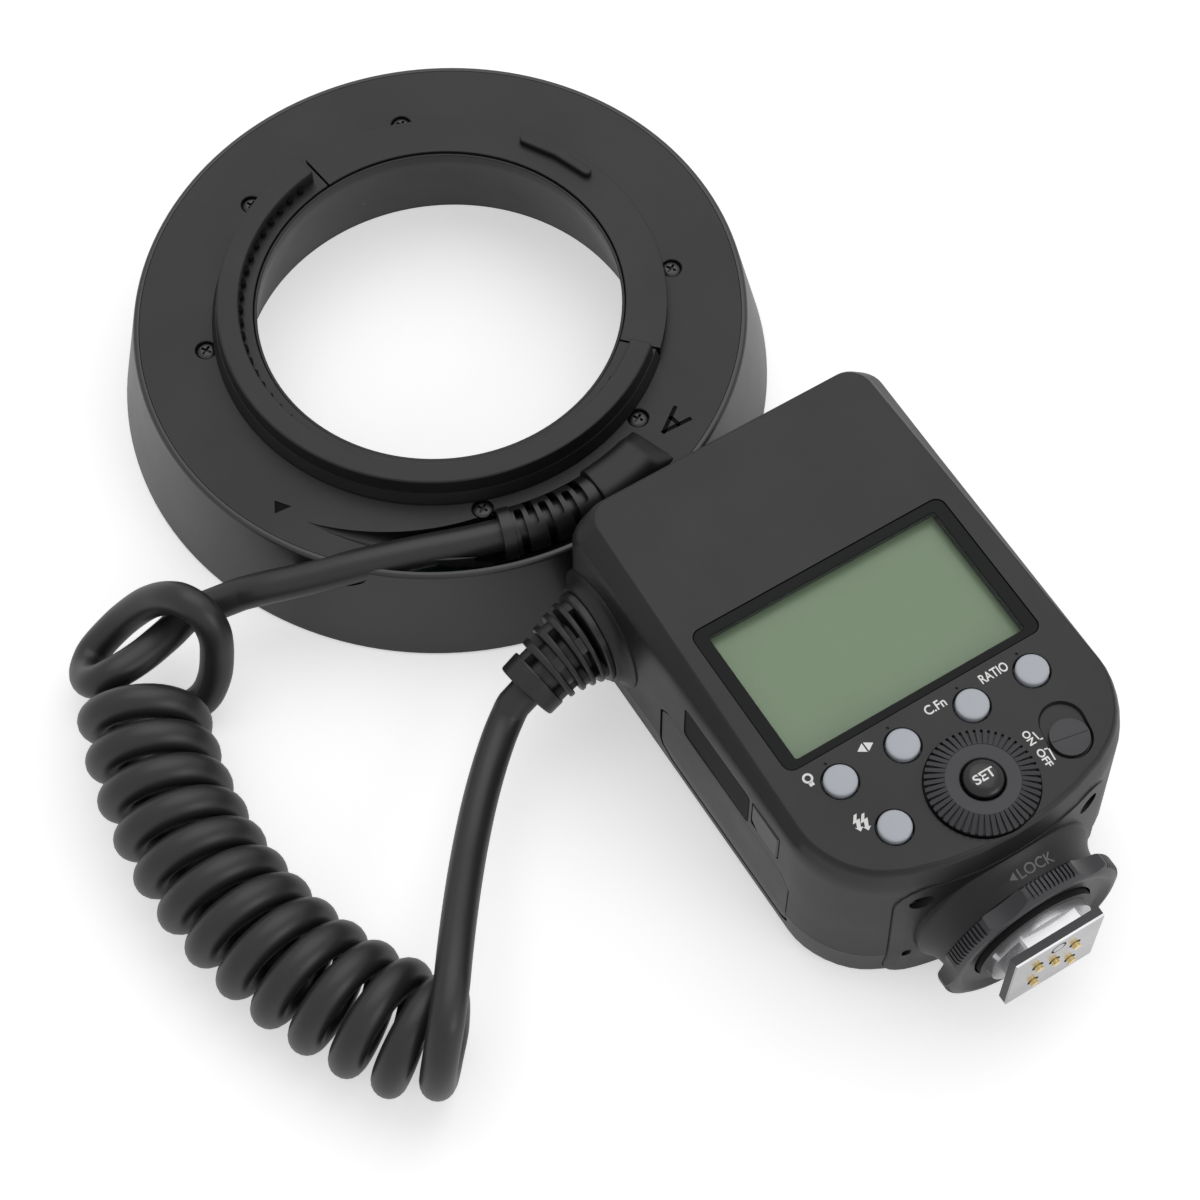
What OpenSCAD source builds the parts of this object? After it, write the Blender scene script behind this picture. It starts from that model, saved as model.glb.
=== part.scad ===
// Macro ring flash: a ring head that fits round a lens, a controller that fits an
// accessory shoe, and the curly cord between them, laid out as in the photograph.
// Millimetres, Z up. The ring head lies on its front face and the controller on its back.
// The origin is the middle of the lens opening, on the surface both of them lie on.

/* [Ring head] */
// Radius of the ring head at its front edge
ring_r = 66; // [64:0.5:69]
// Height of the ring head from its front edge to its rear face
ring_h = 22.5; // [21:0.5:25]
// How far the outer wall leans in from front to rear
ring_lean = 5.3; // [4:0.1:6.5]
// Width of the ring head from the lens opening to the front edge
band_w = 24; // [23.5:0.25:26]
// Thickness of the moulded walls of the ring head
ring_wall = 2; // [1.6:0.1:2.4]

/* [Lens adapter collar] */
// Height of the toothed rim above the rear face
rim_h = 6; // [5:0.1:8]
// Width of the toothed rim
rim_w = 4.2; // [3.6:0.1:4.6]
// Thickness of the ledge that the adapter lies on
ledge_t = 2.7; // [2.4:0.1:3.2]
// How far the sprung clip slides outward
clip_travel = 3; // [2:0.25:3.5]

/* [Cord] */
// Diameter of the cord
cord_d = 6.5; // [5.2:0.1:6.5]
// Radius of the curls, to the middle of the cord
curl_r = 9.15; // [8.65:0.1:9.15]
// Number of curls in the curly stretch
curls = 11.75; // [10.75:1:11.75]

/* [Controller] */
// Width of the controller
body_w = 68; // [66:0.5:72]
// Distance from the dial to the top end of the controller
body_top = 84; // [82:0.5:88]
// Thickness of the controller from its back to its face
body_h = 45; // [44:0.5:48]
// Thickness of the controller's walls
body_wall = 2.2; // [1.8:0.1:2.6]
// Direction in which the controller lies on the table
body_turn = 30; // [26:1:34]

/* [Controls] */
// Diameter of the five round buttons
button_d = 6; // [5.5:0.25:7]
// How far a button goes down
button_travel = 0.8; // [0.5:0.1:0.9]
// Diameter of the dial
dial_d = 19.5; // [19:0.5:22]
// Diameter of the button in the middle of the dial
set_d = 7.2; // [7:0.2:9]
// Travel of the power switch
switch_travel = 3; // [2.4:0.1:3.2]
// Width of the display window
lcd_w = 53.2; // [48:0.4:54]
// Length of the display window along the controller
lcd_l = 31.2; // [28:0.4:32]

/* [Battery and foot] */
// Length of the battery along the controller
battery_l = 41.6; // [38:0.4:43]
// Diameter of the lock wheel
wheel_d = 37; // [35.5:0.5:38.5]
// Width of the accessory foot
foot_w = 18.6; // [18:0.1:18.7]
// Thickness of the accessory foot
foot_t = 2; // [1.8:0.1:2.1]
// How far the lock pin comes out of the foot
pin_travel = 1.5; // [1:0.1:1.8]

/* [Hidden] */
$fn = 96;
// General play between moving pieces, and between pieces that only lie together
play = 0.4;
seat = 0.1;

// Ring head, from the front edge up
bore_r = ring_r - band_w;
edge = 0.8;
rear_r = ring_r - ring_lean;
cover_t = 2.5;
cover_r = rear_r - 0.9;
lip_w = 3.8;
lip_t = 1.2;
glass_t = 1.8;
glass_r = ring_r - 3;
prism_h = 0.6;
prisms = 12;
sleeve_t = 1.6;
sleeve_r = bore_r + sleeve_t;
flange_t = 2;
flange_top = ring_h - 1.2;
glass_in = sleeve_r + seat;
lamp_r = (glass_r + glass_in) / 2 - 0.5;
lamp_z = lip_t + glass_t + prism_h + 2.6;
lamp_tube = 2.1;
mirror_z = lip_t + glass_t + prism_h + 0.2;
mirror_h = 5.6;
mirror_t = 0.8;
mirror_in = sleeve_r + 0.8;
mirror_out = glass_r - 1.6;
board_z = mirror_z + mirror_h + 3;
board_t = 1.5;
board_in = lamp_r - 3;
board_gap = 2.9;
board_out = ring_r - ring_lean * (board_z + board_t) / ring_h - ring_wall - board_gap;
coil_h = 4.6;

// Adapter collar: a toothed arc that stays put and a sprung clip that closes the circle
split_a = 128;
fixed_arc = 215;
rim_in = bore_r - 2.5;
ledge_in = bore_r - 4.8;
rim_foot = rim_in + rim_w + 1.3;
rim_z = ring_h + rim_h;
ledge_z = ring_h + ledge_t;
tooth_a = 4.6;
tooth_r = 0.8;
clip_mid = split_a + fixed_arc + (360 - fixed_arc) / 2 - 360;
clip_gap_a = 0.7;
clip_arc = 360 - fixed_arc - 2 * clip_gap_a;
clip_z = ring_h + 0.3;
clip_out = rim_foot + 0.6;
rib_arc = 21;
rib_r = clip_out - 2.5;
peg_r = 1.3;
peg_a = 58;
peg_at = ledge_in + 2.3;
spring_a = 32;
spring_r = 0.8;
spring_l = clip_travel + 3.2;
post_r = 0.8;
pocket_w = 2 * spring_r + 0.9;
pocket_h = 1.9;
screw_at = 47 + (bore_r - 42);
screw_head = 1.9;
screw_shank = 1;
screw_angles = [10, 100, 145, 190, 280, 325];

// Cable outlet on the rear face
outlet_r = lamp_r + 0.15;
outlet_z = ring_h - 1;
boot_r = 4.8;
boot_from = -77;
boot_to = -56;
fairing_to = -39;
trough_r = boot_r + 0.2;
groove_r = cord_d / 2 + 0.5;
cord_r = cord_d / 2;

// Controller: heights above its back
part_z = 12.5;
foot_y = -12.6;
foot_arc = 62;
corner_r = 17;
top_corner = 5;
half_w = body_w / 2;
plate_z = body_h - 2.4;
pcb_top = body_h - 6.2;
pcb_t = 1.6;
pcb_z = pcb_top - pcb_t;
lcd_y = 35.3;
lcd_x = -0.3;
lcd_border = 2.3;
lcd_t = 1.7;
panel_t = 3.6;
button_y = 13.2;
button_x = [-20.4, -7.4, 7.2, 20];
test_x = -17.3;
test_y = 1.2;
dial_r = dial_d / 2;
dial_z = body_h - 1;
dial_h = 3.6;
stem_r = 6;
set_r = set_d / 2;
set_up = 3.3;
switch_x = 17.7;
switch_y = 0.75;
switch_a = -11;
switch_r = 4;

// Battery in the left wall, and its latch
battery_y = 8.2;
battery_z = 6.6;
battery_over = 19.2;
battery_beyond = 18;
battery_h = body_h - battery_z - battery_over;
battery_in = body_w - battery_beyond;
latch_y = battery_y + 4;
latch_l = 8.2;
latch_z = battery_z + battery_h + 3.4;
latch_h = 8.2;
latch_in = 6;
latch_travel = 1.5;
stop_x = -half_w + latch_in + 6.6;

// Flash capacitor, between the foot corner and the board post
cap_y = 6;
cap_l = 40;

// Foot end: distances from the dial along the axis of the lock wheel
bracket_w = 44.6;
bracket_low = 1.2;
bracket_high = pcb_top;
bracket_screw_x = bracket_w / 2 - 4.6;
bracket_screw_z = bracket_high - 5.3;
bracket_t = 4;
bracket_mid = foot_y + foot_arc;
well_at = 7.2;
axis_z = (bracket_low + bracket_high) / 2;
neck_base = (bracket_high - bracket_low) / 2 - 0.5;
neck_r = neck_base - 2;
neck_end = 16.9;
wheel_r = wheel_d / 2;
wheel_t = 3.6;
wheel_at = neck_end + 0.3;
hub_r = 12;
disc_at = wheel_at + wheel_t + 0.4;
disc_t = 1.5;
disc_r = 14.8;
stem_t = 1.9;
stem_w = 12.2;
foot_at = disc_at + disc_t + stem_t;
foot_l = 18;
pin_r = 1.2;
pin_up = 6;
contact_r = 0.8;
contact_out = 0.8;

// Controller boot on the left wall
gland_y = 70.5;
gland_z = body_h / 2;
gland_x = -half_w - 2.5;
gland_r = 10;
boot_base = 9.2;
boot_bend = [0, 21, 11];
boot_straight = 5;
boot_rest = 11;

// Where the controller lies: its top end keeps clear of the ring wall
body_ex = [cos(body_turn), sin(body_turn), 0];
body_ey = [-sin(body_turn), cos(body_turn), 0];
body_pos = 23.4 * body_ex - (ring_r - 1.1 + body_top) * body_ey;
function body_point(x, y, z) = body_pos + x * body_ex + y * body_ey + [0, 0, z];
function body_dir(v) = v[0] * body_ex + v[1] * body_ey + [0, 0, v[2]];

// Wall radius of the ring head at a height
function wall_r(z) = ring_r - ring_lean * z / ring_h;

// Plan outline of the controller: half widths at the top and foot ends, both ends, corner radii
function arc(c, r, a, b, n) = [for (i = [0:n]) c + r * [cos(a + (b - a) * i / n), sin(a + (b - a) * i / n)]];
function outline(wt, wf, yt, yb, rc, rt) =
    let (mid = yb + foot_arc,
         cx = wf - rc,
         reach = foot_arc - rc,
         cy = mid - sqrt(reach * reach - cx * cx),
         turn = asin(cx / reach))
    concat(arc([wt - rt, yt - rt], rt, 90, 0, 4),
           arc([cx, cy], rc, 0, turn - 90, 7),
           [for (i = [1:5]) [0, mid] + foot_arc * [sin(turn * (1 - i / 3)), -cos(turn * (1 - i / 3))]],
           arc([-cx, cy], rc, -90 - turn, -180, 7),
           arc([rt - wt, yt - rt], rt, 180, 90, 4));

// One thin slice of the controller's outside, inset by a wall thickness
module slice(z, narrow_top, narrow_foot, top, foot, inset) {
    translate([0, 0, z])
        linear_extrude(0.01)
            polygon(outline(half_w - narrow_top - inset, half_w - narrow_foot - inset,
                            body_top - top - inset, foot_y + foot + inset, corner_r, top_corner));
}

// Smooth route through a list of points
function bend(a, b, c, d, t) =
    0.5 * (2 * b + t * (c - a) + t * t * (2 * a - 5 * b + 4 * c - d) + t * t * t * (3 * b - a - 3 * c + d));
function route(p, n) =
    let (m = len(p))
    [for (i = [1:m - 3], j = [0:n - 1]) bend(p[i - 1], p[i], p[i + 1], p[i + 2], j / n)];

// Tube round a line of points
function unit(v) = v / norm(v);
function along(p, i) = unit(p[min(i + 1, len(p) - 1)] - p[max(i - 1, 0)]);
function carry(n, t) = unit(n - (n * t) * t);
function normals(p) =
    [for (i = 0, n = carry([0.3, 0.2, 1], along(p, 0)); i < len(p);
          i = i + 1, n = i < len(p) ? carry(n, along(p, i)) : n) n];
module tube(p, r, sides) {
    n = normals(p);
    last = len(p) - 1;
    points = [for (i = [0:last], k = [0:sides - 1])
        let (t = along(p, i), b = cross(t, n[i]), a = 360 * k / sides)
        p[i] + r * (cos(a) * n[i] + sin(a) * b)];
    walls = [for (i = [0:last - 1], k = [0:sides - 1])
        let (a = i * sides + k, b = i * sides + (k + 1) % sides)
        each [[a, a + sides, b + sides], [a, b + sides, b]]];
    start = [[for (k = [0:sides - 1]) k]];
    end = [[for (k = [0:sides - 1]) last * sides + sides - 1 - k]];
    polyhedron(points, concat(start, walls, end));
}

// Cord route, chosen by hand from the photograph: out of the ring head, through one
// opened loop, round the curls, then over to the controller
layout = ring_r / 66;
function spot(x, y, z) = [x * layout, y * layout, z + (cord_r - 3.25)];
outlet_dir = [sin(boot_from), -cos(boot_from), 0];
outlet_end = [outlet_r * cos(boot_from), outlet_r * sin(boot_from), outlet_z];
join_at = spot(-41.5, -60.8, 15.5);
join_dir = unit([-0.94, -0.24, -0.24]);
ring_tail = [
    outlet_end,
    outlet_end + cord_d * outlet_dir,
    spot(-3, -54.6, 21.3),
    spot(-11, -56.1, 21),
    spot(-18, -57.4, 20.4),
    spot(-26, -58.8, 19.2),
    spot(-33, -59.7, 18.1),
    join_at - cord_r * join_dir,
    join_at];
loop_spots = [
    join_at,
    join_at + cord_r * join_dir,
    spot(-48.7, -62.8, 13.6),
    spot(-52.4, -66.6, 13.3),
    spot(-57, -71.6, 14.2),
    spot(-61.8, -75.4, 14.8),
    spot(-65.4, -76, 12.8),
    spot(-67.8, -74, 9.8),
    spot(-68.7, -70.8, 7.6),
    spot(-67.9, -67.2, 7.2),
    spot(-65.2, -64.6, 9),
    spot(-60.7, -62.6, 13),
    spot(-55.4, -62.4, 18.5),
    spot(-50.5, -64.1, 23),
    spot(-46.9, -66.1, 24.5),
    spot(-44, -68.2, 23.2),
    spot(-42.5, -70.2, 19.5),
    spot(-42.7, -72, 14.5),
    spot(-43.8, -74.3, 9.5),
    spot(-46.4, -76.5, 5.4),
    spot(-51.4, -78.9, 4)];
// Middle line of the curls: part of a large circle, counted in curls from its start
curl_mid = [31.9, -65.8] * layout;
curl_bow = 89.9 * layout;
curl_start = 187.4;
curl_gap = 0.45;
curl_step = (cord_d + curl_gap) / (curl_bow - curl_r) * 180 / PI;
curl_z = curl_r + cord_r + 0.3;
curl_end = 0.5 + curls;
function curl_way(t) = [cos(curl_start + curl_step * t), sin(curl_start + curl_step * t)];
function curl_axis(t) = curl_mid + curl_bow * curl_way(t);
function curl_out(t) = -curl_way(t);
function curl_point(t) =
    let (c = curl_axis(t), o = curl_out(t), a = 360 * t)
    [c[0] + curl_r * sin(a) * o[0], c[1] + curl_r * sin(a) * o[1], curl_z + curl_r * cos(a)];
curl_points = [for (i = [0:round((curl_end - 0.5) * 8)]) curl_point(0.5 + i / 8)];
curl_last = curl_points[len(curl_points) - 1];
// Last half curl, which rises over the curl before it
leave_dir = unit([0.14, 0.98, 0.12]);
leave_at = spot(2, -147.6, 27.2);
leave_spots = [
    spot(1.1, -143.9, 5.8),
    spot(0, -148.6, 3.7),
    spot(-0.7, -153.2, 5.8),
    spot(-1, -156.2, 10.6),
    spot(-0.6, -156.9, 16.4),
    spot(0.3, -155.2, 22)];
loop_in = concat(loop_spots, [curl_points[0], curl_points[1]]);
loop_out = concat([curl_points[len(curl_points) - 2], curl_last], leave_spots,
                  [leave_at - cord_r * leave_dir, leave_at]);
coil_path = concat([join_at], route(loop_in, 2), [for (i = [0:len(curl_points) - 2]) curl_points[i]],
                   route(loop_out, 2), [leave_at - cord_r * leave_dir, leave_at]);
boot_dir = body_dir([-cos(boot_bend[1]) * cos(boot_bend[2]), -cos(boot_bend[1]) * sin(boot_bend[2]),
                     -sin(boot_bend[1])]);
boot_pivot = body_point(gland_x - boot_straight, gland_y, gland_z);
boot_tip = boot_pivot + boot_rest * boot_dir;
body_tail = [
    leave_at,
    leave_at + cord_r * leave_dir,
    spot(3, -137.3, 26),
    spot(3.6, -130, 23.6),
    spot(4.4, -122, 20.9),
    spot(5.4, -114, 18.3),
    spot(6.8, -105.6, 16.3),
    spot(8.5, -98, 15.1),
    spot(10.4, -91.8, 15.2),
    spot(12, -88, 15.9),
    boot_tip + cord_r * boot_dir,
    boot_tip];
ring_tail_path = concat([ring_tail[0]], route(ring_tail, 2), [ring_tail[7], ring_tail[8]]);
body_tail_path = concat([body_tail[0]], route(body_tail, 2), [body_tail[10], body_tail[11]]);

// Least gap between the curls, measured on the points of the cord
coil_gap = min([for (i = [0:len(coil_path) - 1], j = [i + 5:1:len(coil_path) - 1])
    norm(coil_path[i] - coil_path[j])]) - cord_d;
echo(coil_gap_to_itself = coil_gap);
echo(coil_length = [for (i = [1:len(coil_path) - 1]) norm(coil_path[i] - coil_path[i - 1])]
    * [for (i = [1:len(coil_path) - 1]) 1]);
echo(ring_tail_length = [for (i = [1:len(ring_tail_path) - 1]) norm(ring_tail_path[i] - ring_tail_path[i - 1])]
    * [for (i = [1:len(ring_tail_path) - 1]) 1]);
echo(body_tail_length = [for (i = [1:len(body_tail_path) - 1]) norm(body_tail_path[i] - body_tail_path[i - 1])]
    * [for (i = [1:len(body_tail_path) - 1]) 1]);

// Small wire spring along X, from the origin
module wire_spring(length, r, wire, turns) {
    tube([for (i = [0:turns * 8]) [wire + (length - 2 * wire) * i / (turns * 8),
                                   r * cos(45 * i), r * sin(45 * i)]], wire, 6);
}

// Helpers for placing
module polar(r, a, z) {
    rotate([0, 0, a])
        translate([r, 0, z])
            children();
}
module on_body() {
    translate(body_pos)
        rotate([0, 0, body_turn])
            children();
}
// Along the lock wheel's axis, away from the controller
module on_foot(at) {
    translate([0, -at, axis_z])
        rotate([90, 0, 0])
            children();
}
module rod(p, q, r) {
    v = q - p;
    translate(p)
        rotate([0, acos(v[2] / norm(v)), atan2(v[1], v[0])])
            cylinder(r = r, h = norm(v));
}
module spin(a, b) {
    rotate([0, 0, a])
        rotate_extrude(angle = b - a)
            children();
}
module oblong(length, r, h) {
    translate([0, -length / 2, 0])
        cylinder(r = r, h = h);
    translate([0, length / 2, 0])
        cylinder(r = r, h = h);
    translate([-r, -length / 2, 0])
        cube([2 * r, length, h]);
}
module rounded_plate(w, l, r, h) {
    linear_extrude(h)
        union() {
            square([w - 2 * r, l], center = true);
            square([w, l - 2 * r], center = true);
            for (x = [-1, 1], y = [-1, 1])
                translate([x * (w / 2 - r), y * (l / 2 - r)])
                    circle(r);
        }
}

black = [0.05, 0.05, 0.055];
dark = [0.1, 0.1, 0.11];
metal = [0.75, 0.75, 0.77];

// Outer wall of the ring head, with the lip that holds the front glass
module ring_front_shell() {
    low = ring_h - cover_t;
    color(black)
        difference() {
            rotate_extrude()
                polygon([[ring_r - lip_w, 0], [ring_r - edge, 0], [wall_r(edge), edge],
                         [wall_r(ring_h - edge), ring_h - edge], [rear_r - 0.3, ring_h],
                         [cover_r + seat, ring_h], [cover_r + seat, low], [wall_r(low) - ring_wall, low],
                         [wall_r(4) - ring_wall, 4], [glass_r + seat, 4], [glass_r + seat, lip_t],
                         [ring_r - lip_w, lip_t]]);
            cord_groove(groove_r);
        }
}

// Straight way for the cord across the rear face and over its edge
module cord_groove(r) {
    rod(outlet_end - 0.5 * outlet_dir, spot(-29, -59.4, 19), r);
    rod(outlet_end - 0.5 * outlet_dir + [0, 0, r], spot(-29, -59.4, 19) + [0, 0, r], r * 0.99);
}

// Rear cover with screw seats and the sunk trough for the cable outlet
module ring_rear_cover() {
    low = ring_h - cover_t;
    inner = sleeve_r + 0.2;
    color(dark)
        difference() {
            union() {
                rotate_extrude()
                    polygon([[ledge_in, flange_top + seat], [inner, flange_top + seat], [inner, low],
                             [cover_r, low], [cover_r, ring_h], [ledge_in, ring_h]]);
                spin(boot_from, boot_to + 1.6)
                    translate([outlet_r, outlet_z])
                        intersection() {
                            circle(trough_r + 1);
                            translate([-9, -9])
                                square([18, 9]);
                        }
                intersection() {
                    rod(outlet_end, spot(-29, -59.4, 19), groove_r + 1);
                    translate([0, 0, 10])
                        cylinder(r = cover_r - 1.4, h = ring_h - 11);
                }
            }
            spin(boot_from - 0.5, boot_to)
                translate([outlet_r, outlet_z])
                    circle(trough_r);
            spin(boot_from - 0.5, boot_to)
                translate([outlet_r - trough_r, outlet_z])
                    square([2 * trough_r, 9]);
            cord_groove(groove_r);
            for (a = screw_angles)
                polar(screw_at, a, 0) {
                    translate([0, 0, ring_h - 1.3])
                        cylinder(r = screw_head + 0.15, h = 5, $fn = 32);
                    cylinder(r = screw_shank + 0.2, h = ring_h, $fn = 24);
                }
            for (s = [-1, 1])
                polar(0, clip_mid, flange_top)
                    translate([peg_at * cos(peg_a), s * peg_at * sin(peg_a), 0])
                        rotate([0, 0, 90])
                            translate([0, -clip_travel / 2, 0])
                                oblong(clip_travel, peg_r + play, 5, $fn = 32);
        }
    color(dark)
        for (s = [-1, 1])
            polar(0, clip_mid, ring_h)
                translate([spring_x() + spring_l + post_r + 0.15, s * spring_y(), -0.05])
                    cylinder(r = post_r, h = pocket_h - 0.3, $fn = 24);
}
function spring_x() = peg_at * cos(spring_a) - 2.2;
function spring_y() = peg_at * sin(spring_a);

// Tube that lines the lens opening, with the inner lip and the bosses for the cover screws
module bore_sleeve() {
    color(black)
        difference() {
            union() {
                rotate_extrude()
                    polygon([[bore_r, 0], [sleeve_r, 0], [sleeve_r, flange_top], [ledge_in - 0.4, flange_top],
                             [ledge_in - 0.4, ledge_z - 0.5], [ledge_in - 1, ledge_z - 0.5],
                             [ledge_in - 1, flange_top - flange_t], [bore_r, flange_top - flange_t]]);
                for (a = screw_angles)
                    polar(screw_at, a, board_z - 2) {
                        cylinder(r = 2, h = ring_h - cover_t - board_z + 2, $fn = 32);
                        translate([sleeve_r - screw_at - 0.2, -0.8, 0])
                            cube([screw_at - sleeve_r, 1.6, ring_h - cover_t - board_z + 2]);
                    }
            }
            for (a = screw_angles)
                polar(screw_at, a, ring_h - cover_t - 5)
                    cylinder(r = screw_shank + 0.05, h = 10, $fn = 24);
        }
}

// Clear front ring with prisms on its inner side
module diffuser() {
    step = (glass_r - 1.4 - glass_in - 1) / prisms;
    teeth = [for (i = [0:prisms - 1]) each [[glass_r - 1.4 - i * step, lip_t + glass_t],
                                           [glass_r - 1.4 - (i + 0.5) * step, lip_t + glass_t + prism_h]]];
    color([0.85, 0.87, 0.9, 0.6])
        rotate_extrude()
            polygon(concat([[glass_in, lip_t], [glass_r, lip_t], [glass_r, lip_t + glass_t]], teeth,
                           [[glass_in + 1, lip_t + glass_t], [glass_in, lip_t + glass_t]]));
}

// Bright gutter behind the flash tubes, with posts for the circuit board
module reflector() {
    z = mirror_z;
    h = mirror_h;
    color(metal) {
        rotate_extrude()
            polygon([[mirror_in, z], [mirror_in + mirror_t, z], [mirror_in + 2.2, z + h - mirror_t],
                     [mirror_out - 2.6, z + h - mirror_t], [mirror_out - mirror_t, z], [mirror_out, z],
                     [mirror_out - 1.8, z + h], [mirror_in + 1.4, z + h]]);
        for (a = [35, 125, 215, 305])
            polar(lamp_r + 1, a, z + h - 0.2)
                cylinder(r = 1.6, h = board_z - z - h + 0.2, $fn = 24);
    }
}

// Half-round xenon tube with a cap at each end
module flash_tube(mid) {
    spin(mid - 72, mid + 72)
        translate([lamp_r, lamp_z])
            circle(lamp_tube, $fn = 32);
    for (s = [-1, 1])
        spin(mid + s * 74 - 2.5, mid + s * 74 + 2.5)
            translate([lamp_r, lamp_z])
                circle(lamp_tube + 0.25, $fn = 32);
}
module flash_tube_a() {
    color([0.9, 0.92, 0.95])
        flash_tube(clip_mid);
}
module flash_tube_b() {
    color([0.9, 0.92, 0.95])
        flash_tube(clip_mid + 180);
}

// Four small focusing lamps between the ends of the flash tubes
module focus_lamps() {
    top = mirror_z + mirror_h - mirror_t;
    color([0.95, 0.95, 0.85])
        for (a = [90 - 4, 90 + 4, 270 - 4, 270 + 4])
            polar(lamp_r, clip_mid + a, 0) {
                translate([0, 0, top - 2.6])
                    cylinder(r = 1.5, h = 2.6, $fn = 32);
                translate([0, 0, top - 2.6])
                    sphere(r = 1.5, $fn = 32);
                translate([0, 0, top - 0.8])
                    cylinder(r = 1.9, h = 0.8, $fn = 32);
            }
}

// Circuit board ring above the reflector
module ring_board() {
    color([0.1, 0.3, 0.2])
        spin(-50, 280)
            translate([board_in, board_z])
                square([board_out - board_in, board_t]);
}

// Trigger coil standing on the circuit board
module trigger_coil() {
    color([0.6, 0.4, 0.2])
        polar(lamp_r + 0.8, 145, board_z + board_t) {
            cylinder(r = 3.4, h = 0.8);
            cylinder(r = 2.8, h = coil_h);
            translate([0, 0, coil_h - 0.8])
                cylinder(r = 3.4, h = 0.8);
        }
}

// Fixed part of the adapter collar: a ledge and a rim with a row of teeth at its foot
module adapter_collar() {
    rim_a = split_a + 2;
    color(black)
        difference() {
            union() {
                spin(split_a, split_a + fixed_arc)
                    polygon([[ledge_in, ring_h], [rim_foot, ring_h], [rim_foot, ledge_z], [ledge_in, ledge_z]]);
                spin(rim_a, split_a + fixed_arc - 1)
                    polygon([[rim_in, ring_h + 1], [rim_foot, ring_h], [rim_in + rim_w + 0.1, rim_z - 0.4],
                             [rim_in + rim_w - 0.3, rim_z], [rim_in + 0.3, rim_z], [rim_in, rim_z - 0.3]]);
            }
            for (i = [1:floor((fixed_arc - 14) / tooth_a)])
                polar(rim_in, rim_a + 1 + i * tooth_a, ledge_z)
                    cylinder(r = tooth_r, h = 1.5, $fn = 16);
        }
}

// Sprung clip that closes the collar: a flat arc with a finger rib and two guide pegs
module lens_clip() {
    rotate([0, 0, clip_mid])
        color(black)
            difference() {
                union() {
                    spin(-clip_arc / 2, clip_arc / 2)
                        polygon([[ledge_in, clip_z], [clip_out, clip_z], [clip_out, ledge_z - 0.3],
                                 [clip_out - 0.3, ledge_z], [ledge_in, ledge_z]]);
                    spin(-rib_arc / 2, rib_arc / 2)
                        polygon([[rib_r - 1.4, ledge_z - 0.2], [rib_r + 1.4, ledge_z - 0.2],
                                 [rib_r + 1.1, ledge_z + 1.5], [rib_r - 1.1, ledge_z + 1.5]]);
                    for (s = [-1, 1])
                        translate([peg_at * cos(peg_a), s * peg_at * sin(peg_a), flange_top + 0.3])
                            cylinder(r = peg_r, h = clip_z - flange_top, $fn = 32);
                }
                for (s = [-1, 1])
                    translate([spring_x(), s * spring_y() - pocket_w / 2, clip_z - 1])
                        cube([spring_l + 2 * post_r + 0.6, pocket_w, pocket_h + 0.7]);
            }
}

// The two wire springs that push the clip inward
module clip_springs() {
    color(metal)
        for (s = [-1, 1])
            rotate([0, 0, clip_mid])
                translate([spring_x(), s * spring_y(), ring_h + 1.1])
                    wire_spring(spring_l, spring_r - 0.2, 0.16, 6);
}

// Six cover screws
module ring_screws() {
    color(metal)
        for (a = screw_angles)
            polar(screw_at, a, 0) {
                translate([0, 0, ring_h - 1.3])
                    cylinder(r = screw_head, h = 1.1, $fn = 32);
                translate([0, 0, ring_h - cover_t - 4.8])
                    cylinder(r = screw_shank, h = cover_t + 3.6, $fn = 24);
            }
}

// Half-round cover over the cable where it goes into the head
module cable_fairing() {
    color(black)
        spin(boot_to, fairing_to)
            translate([outlet_r, 0])
                intersection() {
                    translate([0, outlet_z])
                        circle(boot_r + 0.5);
                    translate([-9, ring_h])
                        square([18, 9]);
                }
}

// Curved strain relief with staggered slots, lying in the trough
module ring_boot() {
    pitch = (boot_to - boot_from - 4) / 6;
    color(dark)
        difference() {
            spin(boot_from, boot_to - 0.1)
                translate([outlet_r, outlet_z])
                    circle(boot_r);
            for (i = [0:5])
                spin(boot_from + 2.2 + i * pitch, boot_from + 2.2 + (i + 0.42) * pitch)
                    translate([outlet_r, outlet_z])
                        difference() {
                            translate([i % 2 == 0 ? -2.4 : -9, -9])
                                square([11.4, 18]);
                            circle(cord_r);
                        }
        }
}

// The cord, in three stretches
module cord_ring_tail() {
    color(black)
        tube(ring_tail_path, cord_r, 10);
}
module cord_coil() {
    color(black)
        tube(coil_path, cord_r, 6);
}
module cord_body_tail() {
    color(black)
        tube(body_tail_path, cord_r, 10);
}

// Ringed strain relief on the left wall of the controller, bent towards the cord
module controller_boot() {
    color(dark)
        on_body()
            translate([gland_x, gland_y, gland_z]) {
                rotate([0, -90, 0])
                    rotate_extrude()
                        polygon([[0, 0], [boot_base, 0], [boot_base, 1.8], [6.4, 2.2], [6.4, 3.2],
                                 [8.4, 3.6], [8.4, boot_straight], [0, boot_straight]]);
                translate([-boot_straight, 0, 0])
                    rotate([0, 0, boot_bend[2]])
                        rotate([0, -boot_bend[1], 0])
                            rotate([0, -90, 0])
                                rotate_extrude()
                                    polygon([[0, -1.6], [5.8, -1.6], [5.8, 1.6], [7.8, 2], [7.7, 3.4],
                                             [5.4, 3.8], [5.3, 4.6], [7.2, 5], [7.1, 6.4], [5.1, 6.8],
                                             [5, 7.6], [6.6, 8], [6.2, boot_rest], [0, boot_rest]]);
            }
}

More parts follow.
